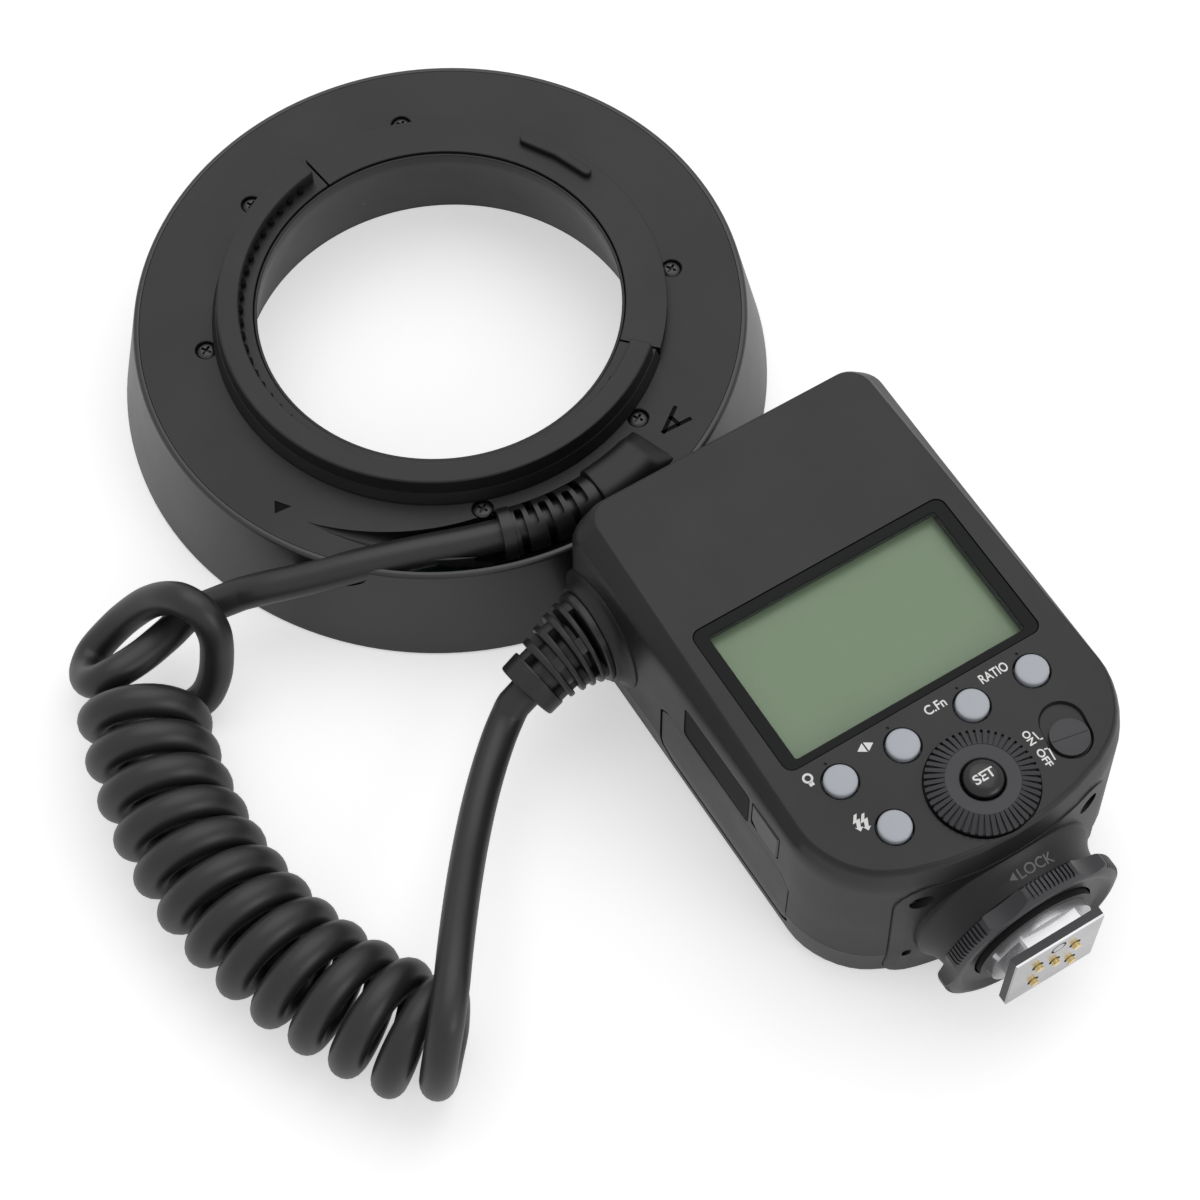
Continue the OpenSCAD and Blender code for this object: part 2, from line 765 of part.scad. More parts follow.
// Upper shell of the controller: face, walls and the cable boss
module top_shell() {
    color(black)
        on_body()
            difference() {
                union() {
                    difference() {
                        hull() {
                            slice(part_z, 0, 0.8, 0, 0, 0);
                            slice(body_h - 6.5, 0.2, 1, 0, 1, 0);
                            slice(body_h - 4, 0.6, 1.2, 0.4, 1.4, 0);
                            slice(body_h - 0.9, 3.6, 1.7, 0.8, 2, 0);
                            slice(body_h - 0.01, 4.3, 2.2, 1.4, 2.6, 0);
                        }
                        hull() {
                            slice(part_z - 1, 0, 0.8, 0, 0, body_wall);
                            slice(body_h - 6.5, 0.2, 1, 0, 1, body_wall);
                            slice(plate_z, 3, 2, 1, 1.8, body_wall);
                        }
                    }
                    translate([gland_x, gland_y, gland_z])
                        rotate([0, 90, 0])
                            cylinder(r = gland_r, h = body_wall + 2.5);
                    for (p = board_posts())
                        translate([p[0], p[1], pcb_top])
                            cylinder(r = 2.6, h = plate_z - pcb_top + 0.5, $fn = 32);
                    translate([stop_x, latch_y - 0.4, latch_z - 0.4])
                        cube([1.4, latch_l + 0.8, pcb_z - latch_z - 0.1]);
                    translate([-half_w + 1, latch_y + latch_l + play, latch_z + 1])
                        cube([stop_x + half_w + 0.4, 1.4, pcb_z - latch_z - 1.5]);
                }
                lcd_cut();
                for (x = button_x)
                    translate([x, button_y, 0])
                        button_hole();
                translate([test_x, test_y, 0])
                    button_hole();
                translate([0, 0, dial_z - 0.3])
                    cylinder(r = dial_r + 0.6, h = 9);
                translate([0, 0, plate_z - 1])
                    cylinder(r = stem_r + 0.5, h = 9);
                translate([switch_x, switch_y, 0])
                    rotate([0, 0, switch_a]) {
                        translate([0, 0, body_h - 1.6])
                            oblong(switch_travel, switch_r + play, 9, $fn = 48);
                        translate([0, 0, plate_z - 1])
                            oblong(switch_travel, 1.5, 9, $fn = 32);
                    }
                battery_cut();
                latch_cut();
                bracket_cut();
            }
}
function board_posts() = [[half_w - 7.5, body_top - 10], [7.5 - half_w, body_top - 10],
                          [half_w - 8, 52], [7.5 - half_w, 55.5]];
module lcd_cut() {
    translate([lcd_x, lcd_y, body_h - lcd_t - seat])
        rounded_plate(lcd_w, lcd_l, 2, 9, $fn = 32);
    translate([lcd_x, lcd_y, plate_z - 1])
        rounded_plate(lcd_w - 3, lcd_l - 1.6, 1.4, 9, $fn = 32);
}
module button_hole() {
    translate([0, 0, plate_z - 1])
        cylinder(r = button_d / 2 + play, h = 9, $fn = 64);
}
module battery_cut() {
    translate([-half_w - 5, battery_y - play, battery_z - play])
        cube([15, battery_l + 2 * play, battery_h + 2 * play]);
}
module latch_cut() {
    translate([-half_w - 5, latch_y - play, latch_z - play])
        cube([10, latch_l + 2 * play, latch_h + 2 * play]);
    translate([-half_w - 9.2, latch_y + latch_l + 1, latch_z - 1.6])
        cube([10, 21, latch_h + 1.6]);
}
module bracket_cut() {
    translate([0, -4.5, (bracket_low + bracket_high) / 2])
        rotate([90, 0, 0])
            rounded_plate(bracket_w + 2 * seat, bracket_high - bracket_low + 2 * seat, 6, 20, $fn = 32);
}

// Back shell of the controller, with the posts that carry the circuit board
module back_shell() {
    color(dark)
        on_body()
            difference() {
                union() {
                    difference() {
                        hull() {
                            slice(0, 2.6, 3, 4.5, 2, 0);
                            slice(3, 1.2, 1.8, 2.4, 0.8, 0);
                            slice(part_z - 0.01, 0, 0.8, 0, 0, 0);
                        }
                        hull() {
                            slice(body_wall, 1.4, 2, 3, 1, body_wall);
                            slice(part_z + 1, 0, 0.8, 0, 0, body_wall);
                        }
                    }
                    for (p = board_posts())
                        translate([p[0], p[1], body_wall - 0.5])
                            cylinder(r = 3, h = pcb_z - body_wall + 0.5, $fn = 32);
                }
                for (p = board_posts())
                    translate([p[0], p[1], -1]) {
                        cylinder(r = 2.2, h = 2.8, $fn = 32);
                        cylinder(r = 1.3, h = 18, $fn = 24);
                    }
                battery_cut();
                bracket_cut();
            }
}

// Four screws in the back of the controller
module shell_screws() {
    color(metal)
        on_body()
            for (p = board_posts())
                translate([p[0], p[1], 0.4]) {
                    cylinder(r = 2, h = 1.4, $fn = 32);
                    cylinder(r = 1.2, h = 15, $fn = 24);
                }
}

// Clear display window
module lcd_window() {
    color([0.05, 0.06, 0.06, 0.5])
        on_body()
            translate([lcd_x, lcd_y, body_h - lcd_t - seat])
                rounded_plate(lcd_w - 2 * seat, lcd_l - 2 * seat, 2, lcd_t, $fn = 32);
}

// Display module on the circuit board
module lcd_panel() {
    color([0.45, 0.6, 0.45])
        on_body()
            translate([lcd_x, lcd_y, pcb_top])
                rounded_plate(lcd_w - 2 * lcd_border, lcd_l - 1.8, 0.6, panel_t, $fn = 32);
}

// Round button with a flat dome and a flange under the face
module button() {
    r = button_d / 2;
    color([0.55, 0.6, 0.66])
        translate([0, 0, pcb_top + 2.4]) {
            cylinder(r = r + 0.9, h = 0.8, $fn = 64);
            cylinder(r = r, h = body_h - pcb_top - 1.8, $fn = 64);
            intersection() {
                cylinder(r = r, h = 12, $fn = 64);
                translate([0, 0, body_h - pcb_top - 1.3 - 14])
                    sphere(r = 14, $fn = 64);
            }
        }
}
module lamp_button() {
    on_body()
        translate([button_x[0], button_y, 0])
            button();
}
module arrow_button() {
    on_body()
        translate([button_x[1], button_y, 0])
            button();
}
module function_button() {
    on_body()
        translate([button_x[2], button_y, 0])
            button();
}
module ratio_button() {
    on_body()
        translate([button_x[3], button_y, 0])
            button();
}
module test_button() {
    on_body()
        translate([test_x, test_y, 0])
            button();
}

// Rubber pad with a dome under each button
module button_pad() {
    color([0.35, 0.35, 0.36])
        on_body()
            translate([0, 0, pcb_top]) {
                translate([-26, button_y - 4.6, 0])
                    difference() {
                        cube([52, 9.2, 0.8]);
                        translate([26, -button_y + 4.6, -1])
                            cylinder(r = stem_r + 2, h = 4);
                    }
                translate([test_x - 5, test_y - 5, 0])
                    cube([8.2, button_y - test_y + 1, 0.8]);
                for (x = button_x)
                    translate([x, button_y, 0])
                        cylinder(r = 2.4, h = 1.4, $fn = 32);
                translate([test_x, test_y, 0])
                    cylinder(r = 2.4, h = 1.4, $fn = 32);
            }
}

// Dial with a sloping outer band and a hollow stem
module dial() {
    hole = set_r + play;
    color(dark)
        on_body()
            translate([0, 0, dial_z])
                rotate_extrude()
                    polygon([[hole, -4.1], [stem_r, -4.1], [stem_r, 0], [dial_r - 0.3, 0], [dial_r, 0.5],
                             [dial_r - 0.3, 2.3], [dial_r - 2.9, dial_h - 0.2], [dial_r - 3.3, dial_h],
                             [hole + 0.3, dial_h], [hole, dial_h - 0.3]]);
}
module dial_encoder() {
    color(metal)
        on_body()
            translate([0, 0, pcb_top])
                cylinder(r = stem_r + 0.8, h = 0.7);
}

// Domed button in the middle of the dial
module set_button() {
    color(dark)
        on_body() {
            translate([0, 0, pcb_top + 2]) {
                cylinder(r = 1.8, h = 2, $fn = 32);
                translate([0, 0, 1])
                    cylinder(r = set_r, h = body_h - pcb_top - 0.6, $fn = 64);
            }
            intersection() {
                translate([0, 0, body_h])
                    cylinder(r = set_r, h = 12, $fn = 64);
                translate([0, 0, body_h + set_up + 0.4 - 12])
                    sphere(r = 12, $fn = 64);
            }
        }
}

// Sliding power switch: a round knob with a ridge across it
module power_switch() {
    color(dark)
        on_body()
            translate([switch_x, switch_y, 0])
                rotate([0, 0, switch_a])
                    translate([0, -switch_travel / 2, 0]) {
                        translate([0, 0, body_h - 1.3])
                            cylinder(r = switch_r, h = 1.4, $fn = 64);
                        translate([-3.4, -0.7, body_h - 0.2])
                            cube([6.8, 1.4, 1.4]);
                        translate([0, 0, pcb_top + 2])
                            cylinder(r = 1.1, h = body_h - pcb_top - 2.8, $fn = 24);
                    }
}
module switch_body() {
    color(metal)
        on_body()
            translate([switch_x, switch_y, pcb_top])
                rotate([0, 0, switch_a])
                    translate([-2.6, -4.6, 0])
                        cube([5.2, 9.2, 1.6]);
}

// Main circuit board, cut away at the foot end
module main_board() {
    color([0.1, 0.3, 0.2])
        on_body()
            difference() {
                translate([-half_w + 5.5, -5, pcb_z])
                    cube([body_w - 11, body_top + 1, pcb_t]);
                translate([-half_w, -10, pcb_z - 1])
                    cube([latch_in + 9, 11 + latch_y + latch_l, pcb_t + 2]);
                translate([half_w - 5.5, -5, pcb_z - 1])
                    rotate([0, 0, 45])
                        cube([corner_r, corner_r, 2 * pcb_t + 2], center = true);
            }
}

// Flash capacitor under the board, along the right wall
module flash_capacitor() {
    r = 6.6;
    color([0.2, 0.22, 0.3])
        on_body()
            translate([half_w - body_wall - r - 1, cap_y, pcb_z - r])
                rotate([-90, 0, 0]) {
                    cylinder(r = r, h = cap_l);
                    cylinder(r = r - 0.6, h = cap_l + 1.5);
                }
}

// Charging transformer under the board
module transformer() {
    color([0.5, 0.35, 0.2])
        on_body()
            translate([0, body_top - 20, pcb_z]) {
                translate([-9, -8, -3])
                    cube([18, 16, 3]);
                translate([0, 0, -9.5])
                    cylinder(r = 6.5, h = 7);
                translate([-9, -8, -12])
                    cube([18, 16, 3]);
            }
}

// Battery that fills the opening in the left wall
module battery_pack() {
    color(dark)
        on_body()
            intersection() {
                translate([-half_w - 2, battery_y, battery_z])
                    cube([battery_in + 2, battery_l, battery_h]);
                hull() {
                    slice(3, 1.3, 1.9, 2.4, 0.8, 0);
                    slice(part_z, 0.1, 0.9, 0, 0, 0);
                    slice(body_h - 6.5, 0.3, 1.1, 0, 1, 0);
                }
            }
}

// Contact block that meets the inner end of the battery
module battery_contacts() {
    x = battery_in - half_w + 0.3;
    color(metal)
        on_body() {
            translate([x + 0.3, battery_y + 12, battery_z + 4])
                cube([0.8, 18, pcb_z - battery_z - 4]);
            for (i = [0:2])
                translate([x, battery_y + 14.5 + i * 5.5, battery_z + 6])
                    cube([0.5, 2, 8]);
        }
}

// Push-in latch that holds the battery
module battery_latch() {
    color(dark)
        on_body()
            difference() {
                translate([-half_w + 0.5, latch_y, latch_z])
                    cube([latch_in - 0.5, latch_l, latch_h]);
                for (i = [0:2])
                    translate([-half_w, latch_y + 1.6 + i * 2, latch_z + 1])
                        cube([0.9, 1, latch_h - 2]);
            }
}
module latch_spring() {
    color(metal)
        on_body()
            translate([-half_w + latch_in, latch_y + latch_l / 2, latch_z + latch_h / 2])
                wire_spring(stop_x + half_w - latch_in, 2.2, 0.3, 4);
}

// Plate on the foot end with the round neck and the hub that the lock wheel turns on
module foot_bracket() {
    color(black)
        on_body()
            difference() {
                union() {
                    intersection() {
                        translate([0, -2, (bracket_low + bracket_high) / 2])
                            rotate([90, 0, 0])
                                rounded_plate(bracket_w, bracket_high - bracket_low, 6, 20, $fn = 32);
                        leaning_bow(2.2);
                        leaning_bow(-5);
                        difference() {
                            translate([0, bracket_mid - 10, bracket_low - 1])
                                cylinder(r = foot_arc + 20, h = body_h);
                            translate([0, bracket_mid, bracket_low - 2])
                                cylinder(r = foot_arc - bracket_t, h = body_h + 2);
                        }
                    }
                    on_foot(0)
                        rotate_extrude()
                            polygon([[0, 9], [neck_base, 9], [neck_base, 11.4], [neck_base - 0.4, 12.3],
                                     [neck_base - 1.1, 13], [neck_r + 0.3, 13.9], [neck_r, 15],
                                     [neck_r - 0.2, neck_end], [hub_r, neck_end],
                                     [hub_r, disc_at], [0, disc_at]]);
                }
                for (s = [-1, 1])
                    translate([s * bracket_screw_x, 0, bracket_screw_z])
                        rotate([90, 0, 0]) {
                            cylinder(r = 1.2, h = 30, $fn = 24);
                            translate([0, 0, well_at])
                                cylinder(r = 2.2, h = 30, $fn = 32);
                        }
                on_foot(10)
                    translate([0, pin_up, 0])
                        cylinder(r = pin_r + play, h = 20, $fn = 32);
                on_foot(15)
                    for (p = contact_spots())
                        translate([p[0], p[1], 0])
                            cylinder(r = contact_r + play, h = 20, $fn = 24);
            }
}
// Round bar with the bow of the foot end, leaning with the wall above or below the joint of the shells
module leaning_bow(lean) {
    translate([0, bracket_mid, part_z])
        rotate([-lean, 0, 0])
            translate([0, 0, -body_h])
                cylinder(r = foot_arc + 0.1, h = 2 * body_h);
}
function contact_spots() = [[0, 0], [-4, 2.6], [4, 2.6], [-4, -4.4], [4, -4.4]];

// Two screws in the wells of the plate
module bracket_screws() {
    color(metal)
        on_body()
            for (s = [-1, 1])
                translate([s * bracket_screw_x, 5.4 - well_at, bracket_screw_z])
                    rotate([90, 0, 0]) {
                        cylinder(r = 1.1, h = 5.6, $fn = 24);
                        translate([0, 0, 5.4])
                            cylinder(r = 2, h = 1.2, $fn = 32);
                    }
}

// Lock wheel with scalloped edge
module lock_wheel() {
    color(dark)
        on_body()
            on_foot(wheel_at)
                difference() {
                    rotate_extrude()
                        polygon([[hub_r + play, 0], [wheel_r - 0.5, 0], [wheel_r, 0.5], [wheel_r, wheel_t - 1],
                                 [wheel_r - 1.6, wheel_t], [hub_r + 4, wheel_t], [hub_r + 3, wheel_t - 0.8],
                                 [hub_r + play, wheel_t - 0.8]]);
                    for (i = [0:5])
                        rotate([0, 0, 60 * i])
                            translate([wheel_r + 11.2, 0, -1])
                                cylinder(r = 12.4, h = wheel_t + 2);
                }
}

// Accessory foot: a disc, a stem and the plate that slides into the shoe
module shoe_foot() {
    color(metal)
        on_body()
            difference() {
                union() {
                    on_foot(disc_at)
                        cylinder(r = disc_r, h = disc_t);
                    translate([-stem_w / 2, -foot_at - 0.1, axis_z - foot_l / 2])
                        cube([stem_w, stem_t + 0.3, foot_l]);
                    translate([-foot_w / 2, -foot_at - foot_t, axis_z - foot_l / 2])
                        cube([foot_w, foot_t, foot_l]);
                }
                on_foot(disc_at - 1)
                    translate([0, pin_up, 0])
                        cylinder(r = pin_r + play, h = 20, $fn = 32);
                on_foot(disc_at - 1)
                    for (p = contact_spots())
                        translate([p[0], p[1], 0])
                            cylinder(r = contact_r + play, h = 20, $fn = 24);
            }
}

// Pin that the lock wheel drives out of the foot
module lock_pin() {
    color(metal)
        on_body()
            on_foot(neck_end - 4)
                translate([0, pin_up, 0])
                    cylinder(r = pin_r, h = foot_at + foot_t - neck_end + 4, $fn = 32);
}

// Sprung contacts in the foot
module shoe_contacts() {
    color([0.8, 0.65, 0.3])
        on_body()
            on_foot(neck_end)
                for (p = contact_spots())
                    translate([p[0], p[1], 0])
                        cylinder(r = contact_r, h = foot_at + foot_t + contact_out - neck_end, $fn = 24);
}

ring_front_shell();
ring_rear_cover();
bore_sleeve();
diffuser();
reflector();
flash_tube_a();
flash_tube_b();
focus_lamps();
ring_board();
trigger_coil();
adapter_collar();
lens_clip();
clip_springs();
ring_screws();
cable_fairing();
ring_boot();
cord_ring_tail();
cord_coil();
cord_body_tail();
controller_boot();
top_shell();
back_shell();
shell_screws();
lcd_window();
lcd_panel();
lamp_button();
arrow_button();
function_button();
ratio_button();
test_button();
button_pad();
dial();
dial_encoder();
set_button();
power_switch();
switch_body();
main_board();
flash_capacitor();
transformer();
battery_pack();
battery_contacts();
battery_latch();
latch_spring();
foot_bracket();
bracket_screws();
lock_wheel();
shoe_foot();
lock_pin();
shoe_contacts();
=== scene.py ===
"""Macro ring flash: looks of the ring head, the curly cord and the controller.

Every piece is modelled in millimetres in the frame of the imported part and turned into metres
when it becomes an object. The controller's pieces are modelled in its own axes and then laid
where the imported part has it.
"""

import logging
import math
from dataclasses import dataclass, field
from enum import Enum
from typing import Callable, Iterable, Optional, Sequence

import bmesh
import bpy
from mathutils import Matrix, Quaternion, Vector


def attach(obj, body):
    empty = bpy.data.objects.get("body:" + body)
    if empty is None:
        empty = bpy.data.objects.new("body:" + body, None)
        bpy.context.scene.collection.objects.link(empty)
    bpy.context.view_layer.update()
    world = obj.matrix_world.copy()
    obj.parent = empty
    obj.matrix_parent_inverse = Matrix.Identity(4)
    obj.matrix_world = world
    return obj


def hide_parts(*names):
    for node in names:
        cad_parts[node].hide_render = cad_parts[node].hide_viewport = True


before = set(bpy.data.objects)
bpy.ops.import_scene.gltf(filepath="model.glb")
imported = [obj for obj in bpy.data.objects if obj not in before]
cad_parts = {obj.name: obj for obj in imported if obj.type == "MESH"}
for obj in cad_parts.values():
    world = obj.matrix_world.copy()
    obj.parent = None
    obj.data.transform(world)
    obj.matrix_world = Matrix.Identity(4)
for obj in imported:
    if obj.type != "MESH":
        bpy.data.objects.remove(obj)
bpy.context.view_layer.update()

LOG = logging.getLogger("ring_flash")
MM = 0.001
Corner = Sequence[float]
Colour = tuple[float, float, float]


class Body(Enum):
    """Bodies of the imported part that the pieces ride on."""

    FLASH = "flash"
    CLIP = "clip"
    LAMP = "lamp_key"
    ARROW = "arrow_key"
    FUNCTION = "function_key"
    RATIO = "ratio_key"
    TEST = "test_key"
    DIAL = "dial_body"
    SET = "set_key"
    SWITCH = "switch_knob"
    BATTERY = "battery"
    LATCH = "latch"
    WHEEL = "wheel"


class Join(Enum):
    """Ways of combining one solid with another."""

    CUT = "DIFFERENCE"
    ADD = "UNION"
    KEEP = "INTERSECT"


# Where the controller lies, and turns that put a shape drawn flat onto its walls
BODY_TURN = math.radians(30.0)
BODY_AT = Vector((94.715, -117.2512, 0.0))
ON_BODY = Matrix.Translation(BODY_AT) @ Matrix.Rotation(BODY_TURN, 4, "Z")
TO_SIDE = Matrix(((0, 0, 1, 0), (1, 0, 0, 0), (0, 1, 0, 0), (0, 0, 0, 1)))
TO_FOOT = Matrix.Rotation(math.pi / 2, 4, "X")
TO_LEFT = Matrix.Rotation(-math.pi / 2, 4, "Y")


# Where the cord leaves the ring head, and how the strain relief leans on the controller
OUTLET_R, OUTLET_Z, OUTLET_TURN = 53.0, 21.5, -77.0
OUTLET_A = math.radians(OUTLET_TURN)
OUTLET = Vector((OUTLET_R * math.cos(OUTLET_A), OUTLET_R * math.sin(OUTLET_A), OUTLET_Z))
BOOT_FOOT, BOOT_PIVOT = Vector((-36.5, 70.5, 22.5)), Vector((-41.5, 70.5, 22.5))
BOOT_DOWN, BOOT_ASIDE = math.radians(21.0), math.radians(11.0)
BOOT_WAY = Vector((
    -math.cos(BOOT_DOWN) * math.cos(BOOT_ASIDE),
    -math.cos(BOOT_DOWN) * math.sin(BOOT_ASIDE),
    -math.sin(BOOT_DOWN),
))
BOOT_REACH = 11.0


def turn(degrees: float) -> Matrix:
    """Turn about Z by an angle in degrees."""
    return Matrix.Rotation(math.radians(degrees), 4, "Z")


def shift(x: float, y: float, z: float) -> Matrix:
    """Move by millimetres."""
    return Matrix.Translation((x, y, z))


def disc(x: float, y: float, r: float) -> list[Corner]:
    """Corners of a square whose corner radii make it a circle."""
    k = 0.9995 * r
    return [(x - r, y - r, k), (x + r, y - r, k), (x + r, y + r, k), (x - r, y + r, k)]


def slab(x0: float, x1: float, y0: float, y1: float, r: float = 0.0) -> list[Corner]:
    """Corners of a rectangle with rounded corners."""
    return [(x0, y0, r), (x1, y0, r), (x1, y1, r), (x0, y1, r)]


def show(name: str, data: bpy.types.ID) -> bpy.types.Object:
    """New object in the scene with some data."""
    obj = bpy.data.objects.new(name, data)
    bpy.context.scene.collection.objects.link(obj)
    return obj


class Shape:
    """A mesh in the making, in millimetres."""

    def __init__(self) -> None:
        """Starts with nothing in it."""
        self.bm = bmesh.new()

    def _fresh(self, known: set) -> list:
        """Vertices that aren't in a set of known ones."""
        return [v for v in self.bm.verts if v not in known]

    def _settle(self, known: set) -> list:
        """Merges doubles among new vertices and points their faces outwards.

        Args:
            known: vertices that were there before.

        Returns:
            The new vertices that are left.
        """
        bmesh.ops.remove_doubles(self.bm, verts=self._fresh(known), dist=1e-4)
        fresh = self._fresh(known)
        faces = list(dict.fromkeys(f for v in fresh for f in v.link_faces))
        bmesh.ops.recalc_face_normals(self.bm, faces=faces)
        return fresh

    def bevel(self, geom: list, width: float, segments: int, what: str = "EDGES", clamp: bool = True) -> None:
        """Rounds edges, or the corners of a flat face.

        Args:
            geom: the edges or vertices.
            width: width of the rounding.
            segments: steps across it.
            what: EDGES or VERTICES.
            clamp: keep the rounding narrow where edges are short.
        """
        bmesh.ops.bevel(
            self.bm, geom=geom, offset=width, offset_type="OFFSET", segments=segments, profile=0.5,
            affect=what, clamp_overlap=clamp, material=-1,
        )

    def outline(self, corners: Sequence[Corner], segments: int = 5) -> bmesh.types.BMFace:
        """Face in the XY plane with rounded corners.

        Args:
            corners: (x, y) or (x, y, radius) for each corner.
            segments: steps round each corner.

        Returns:
            The face.
        """
        bm = self.bm
        known = set(bm.faces)
        verts = [bm.verts.new((c[0], c[1], 0.0)) for c in corners]
        bm.faces.new(verts)
        rounds: dict[float, list] = {}
        for vert, corner in zip(verts, corners):
            if len(corner) > 2 and corner[2] > 0.0:
                rounds.setdefault(corner[2], []).append(vert)
        for radius, group in rounds.items():
            self.bevel(group, radius, segments, "VERTICES", clamp=False)
        return next(f for f in bm.faces if f not in known)

    def lathe(
        self, profile: Sequence[Corner], start: float = 0.0, sweep: float = 360.0,
        steps: int = 96, segments: int = 3, rise: float = 0.0,
    ) -> list:
        """Turns a closed profile of (radius, height) about Z.

        Args:
            profile: corners of the profile, each with an optional rounding radius.
            start: angle of the first section in degrees.
            sweep: angle turned through in degrees; 360 closes the form.
            steps: sections along the sweep.
            segments: steps round each rounded corner.
            rise: height gained along the sweep.

        Returns:
            The new vertices.
        """
        bm = self.bm
        known = set(bm.verts)
        face = self.outline(profile, segments)
        verts = list(face.verts)
        stand = Matrix.Rotation(math.radians(start), 3, "Z") @ Matrix.Rotation(math.pi / 2, 3, "X")
        bmesh.ops.rotate(bm, verts=verts, cent=(0, 0, 0), matrix=stand)
        on_axis = [e for e in face.edges if max(v.co.xy.length for v in e.verts) < 1e-6]
        edges = [e for e in face.edges if e not in on_axis]
        whole = sweep >= 360.0
        geom = verts + edges
        if whole:
            bmesh.ops.delete(bm, geom=[face], context="FACES_ONLY")
            bmesh.ops.delete(bm, geom=on_axis, context="EDGES")
        else:
            geom.append(face)
        bmesh.ops.spin(
            bm, geom=geom, cent=(0, 0, 0), axis=(0, 0, 1), dvec=(0, 0, rise / steps),
            angle=math.radians(sweep), steps=steps, use_merge=whole, use_duplicate=False,
        )
        return self._settle(known)

    def prism(self, corners: Sequence[Corner], low: float, high: float, segments: int = 5) -> list:
        """Raises an outline in the XY plane from one height to another.

        Args:
            corners: corners of the outline, each with an optional rounding radius.
            low: height of the lower face.
            high: height of the upper face.
            segments: steps round each rounded corner.

        Returns:
            The new vertices.
        """
        bm = self.bm
        known = set(bm.verts)
        face = self.outline(corners, segments)
        bmesh.ops.translate(bm, verts=list(face.verts), vec=(0, 0, low))
        out = bmesh.ops.extrude_face_region(bm, geom=[face])["geom"]
        top = [g for g in out if isinstance(g, bmesh.types.BMVert)]
        bmesh.ops.translate(bm, verts=top, vec=(0, 0, high - low))
        return self._settle(known)

    def plug(self, radius: float, low: float, high: float, steps: int = 32) -> list:
        """Round plug about Z between two heights; returns its vertices."""
        return self.lathe([(0, low), (radius, low), (radius, high), (0, high)], steps=steps)

    def well(
        self, radius: float, mouth: float, low: float, face: float, high: float, deep: float, steps: int,
    ) -> list:
        """Round well about Z with a chamfered mouth, as a cutter.

        Args:
            radius: of the well.
            mouth: radius at the face.
            low: height of its floor.
            face: height of the face that it is sunk into.
            high: how far the cutter reaches.
            deep: depth of the chamfer.
            steps: sections of a full turn.

        Returns:
            The new vertices.
        """
        return self.lathe([(0, low), (radius, low), (radius, face - deep), (mouth, face + 0.02), (mouth, high),
                           (0, high)], steps=steps)

    def rod(self, start: Vector, end: Vector, radius: float, sides: int = 32) -> list:
        """Round bar between two points; returns its vertices."""
        way = end - start
        place = Matrix.Translation((start + end) / 2) @ way.to_track_quat("Z", "Y").to_matrix().to_4x4()
        made = bmesh.ops.create_cone(
            self.bm, cap_ends=True, segments=sides, radius1=radius, radius2=radius,
            depth=way.length, matrix=place,
        )
        return made["verts"]

    def block(self, low: Sequence[float], high: Sequence[float]) -> list:
        """Rectangular block between two corners; returns its vertices."""
        low, high = Vector(low), Vector(high)
        size = Matrix.Diagonal((*(high - low), 1.0))
        made = bmesh.ops.create_cube(self.bm, size=1.0, matrix=Matrix.Translation((low + high) / 2) @ size)
        return made["verts"]

    def move(self, place: Matrix, verts: Optional[Iterable] = None) -> "Shape":
        """Moves some or all vertices; returns the shape."""
        chosen = list(self.bm.verts if verts is None else verts)
        bmesh.ops.transform(self.bm, matrix=place, verts=chosen)
        return self

    def soften(
        self, width: float, segments: int = 2, limit: float = 35.0,
        verts: Optional[Iterable] = None, clamp: bool = True,
    ) -> "Shape":
        """Rounds the edges that are sharper than an angle.

        Args:
            width: width of the rounding.
            segments: steps across it.
            limit: least angle between the two faces, in degrees.
            verts: only edges between these vertices, or all.
            clamp: keep the rounding narrow where edges are short.

        Returns:
            The shape.
        """
        chosen = None if verts is None else set(verts)
        edges = [
            e for e in self.bm.edges
            if len(e.link_faces) == 2 and e.calc_face_angle(0.0) > math.radians(limit)
            and (chosen is None or (e.verts[0] in chosen and e.verts[1] in chosen))
        ]
        self.bevel(edges, width, segments, clamp=clamp)
        return self

    def repeat(self, verts: Iterable, count: int, angle: float = 360.0) -> None:
        """Copies some vertices round Z so that there are count of them over an angle."""
        chosen = dict.fromkeys(verts)
        geom = list(chosen)
        geom += [e for e in self.bm.edges if all(v in chosen for v in e.verts)]
        geom += [f for f in self.bm.faces if all(v in chosen for v in f.verts)]
        last = angle * (count - 1) / count if angle >= 360.0 else angle
        bmesh.ops.spin(
            self.bm, geom=geom, cent=(0, 0, 0), axis=(0, 0, 1), dvec=(0, 0, 0),
            angle=math.radians(last), steps=count - 1, use_duplicate=True, use_merge=False,
        )

    def combine(self, other: "Shape", how: Join) -> "Shape":
        """Cuts, adds or keeps another solid, which is used up.

        Args:
            other: the other solid.
            how: what is done with it.

        Returns:
            The shape.
        """
        both = []
        for label, shape in (("work", self), ("tool", other)):
            mesh = bpy.data.meshes.new(label)
            shape.bm.to_mesh(mesh)
            both.append(show(label, mesh))
        work, tool = both
        change = work.modifiers.new("change", "BOOLEAN")
        change.operation, change.solver, change.object = how.value, "EXACT", tool
        change.use_self = True
        graph = bpy.context.evaluated_depsgraph_get()
        made = bpy.data.meshes.new_from_object(work.evaluated_get(graph))
        self.bm.clear()
        self.bm.from_mesh(made)
        other.bm.free()
        for obj in both:
            mesh = obj.data
            bpy.data.objects.remove(obj)
            bpy.data.meshes.remove(mesh)
        bpy.data.meshes.remove(made)
        return self

    def cut(self, other: "Shape") -> "Shape":
        """Takes another solid away."""
        return self.combine(other, Join.CUT)

    def add(self, other: "Shape") -> "Shape":
        """Joins another solid on."""
        return self.combine(other, Join.ADD)

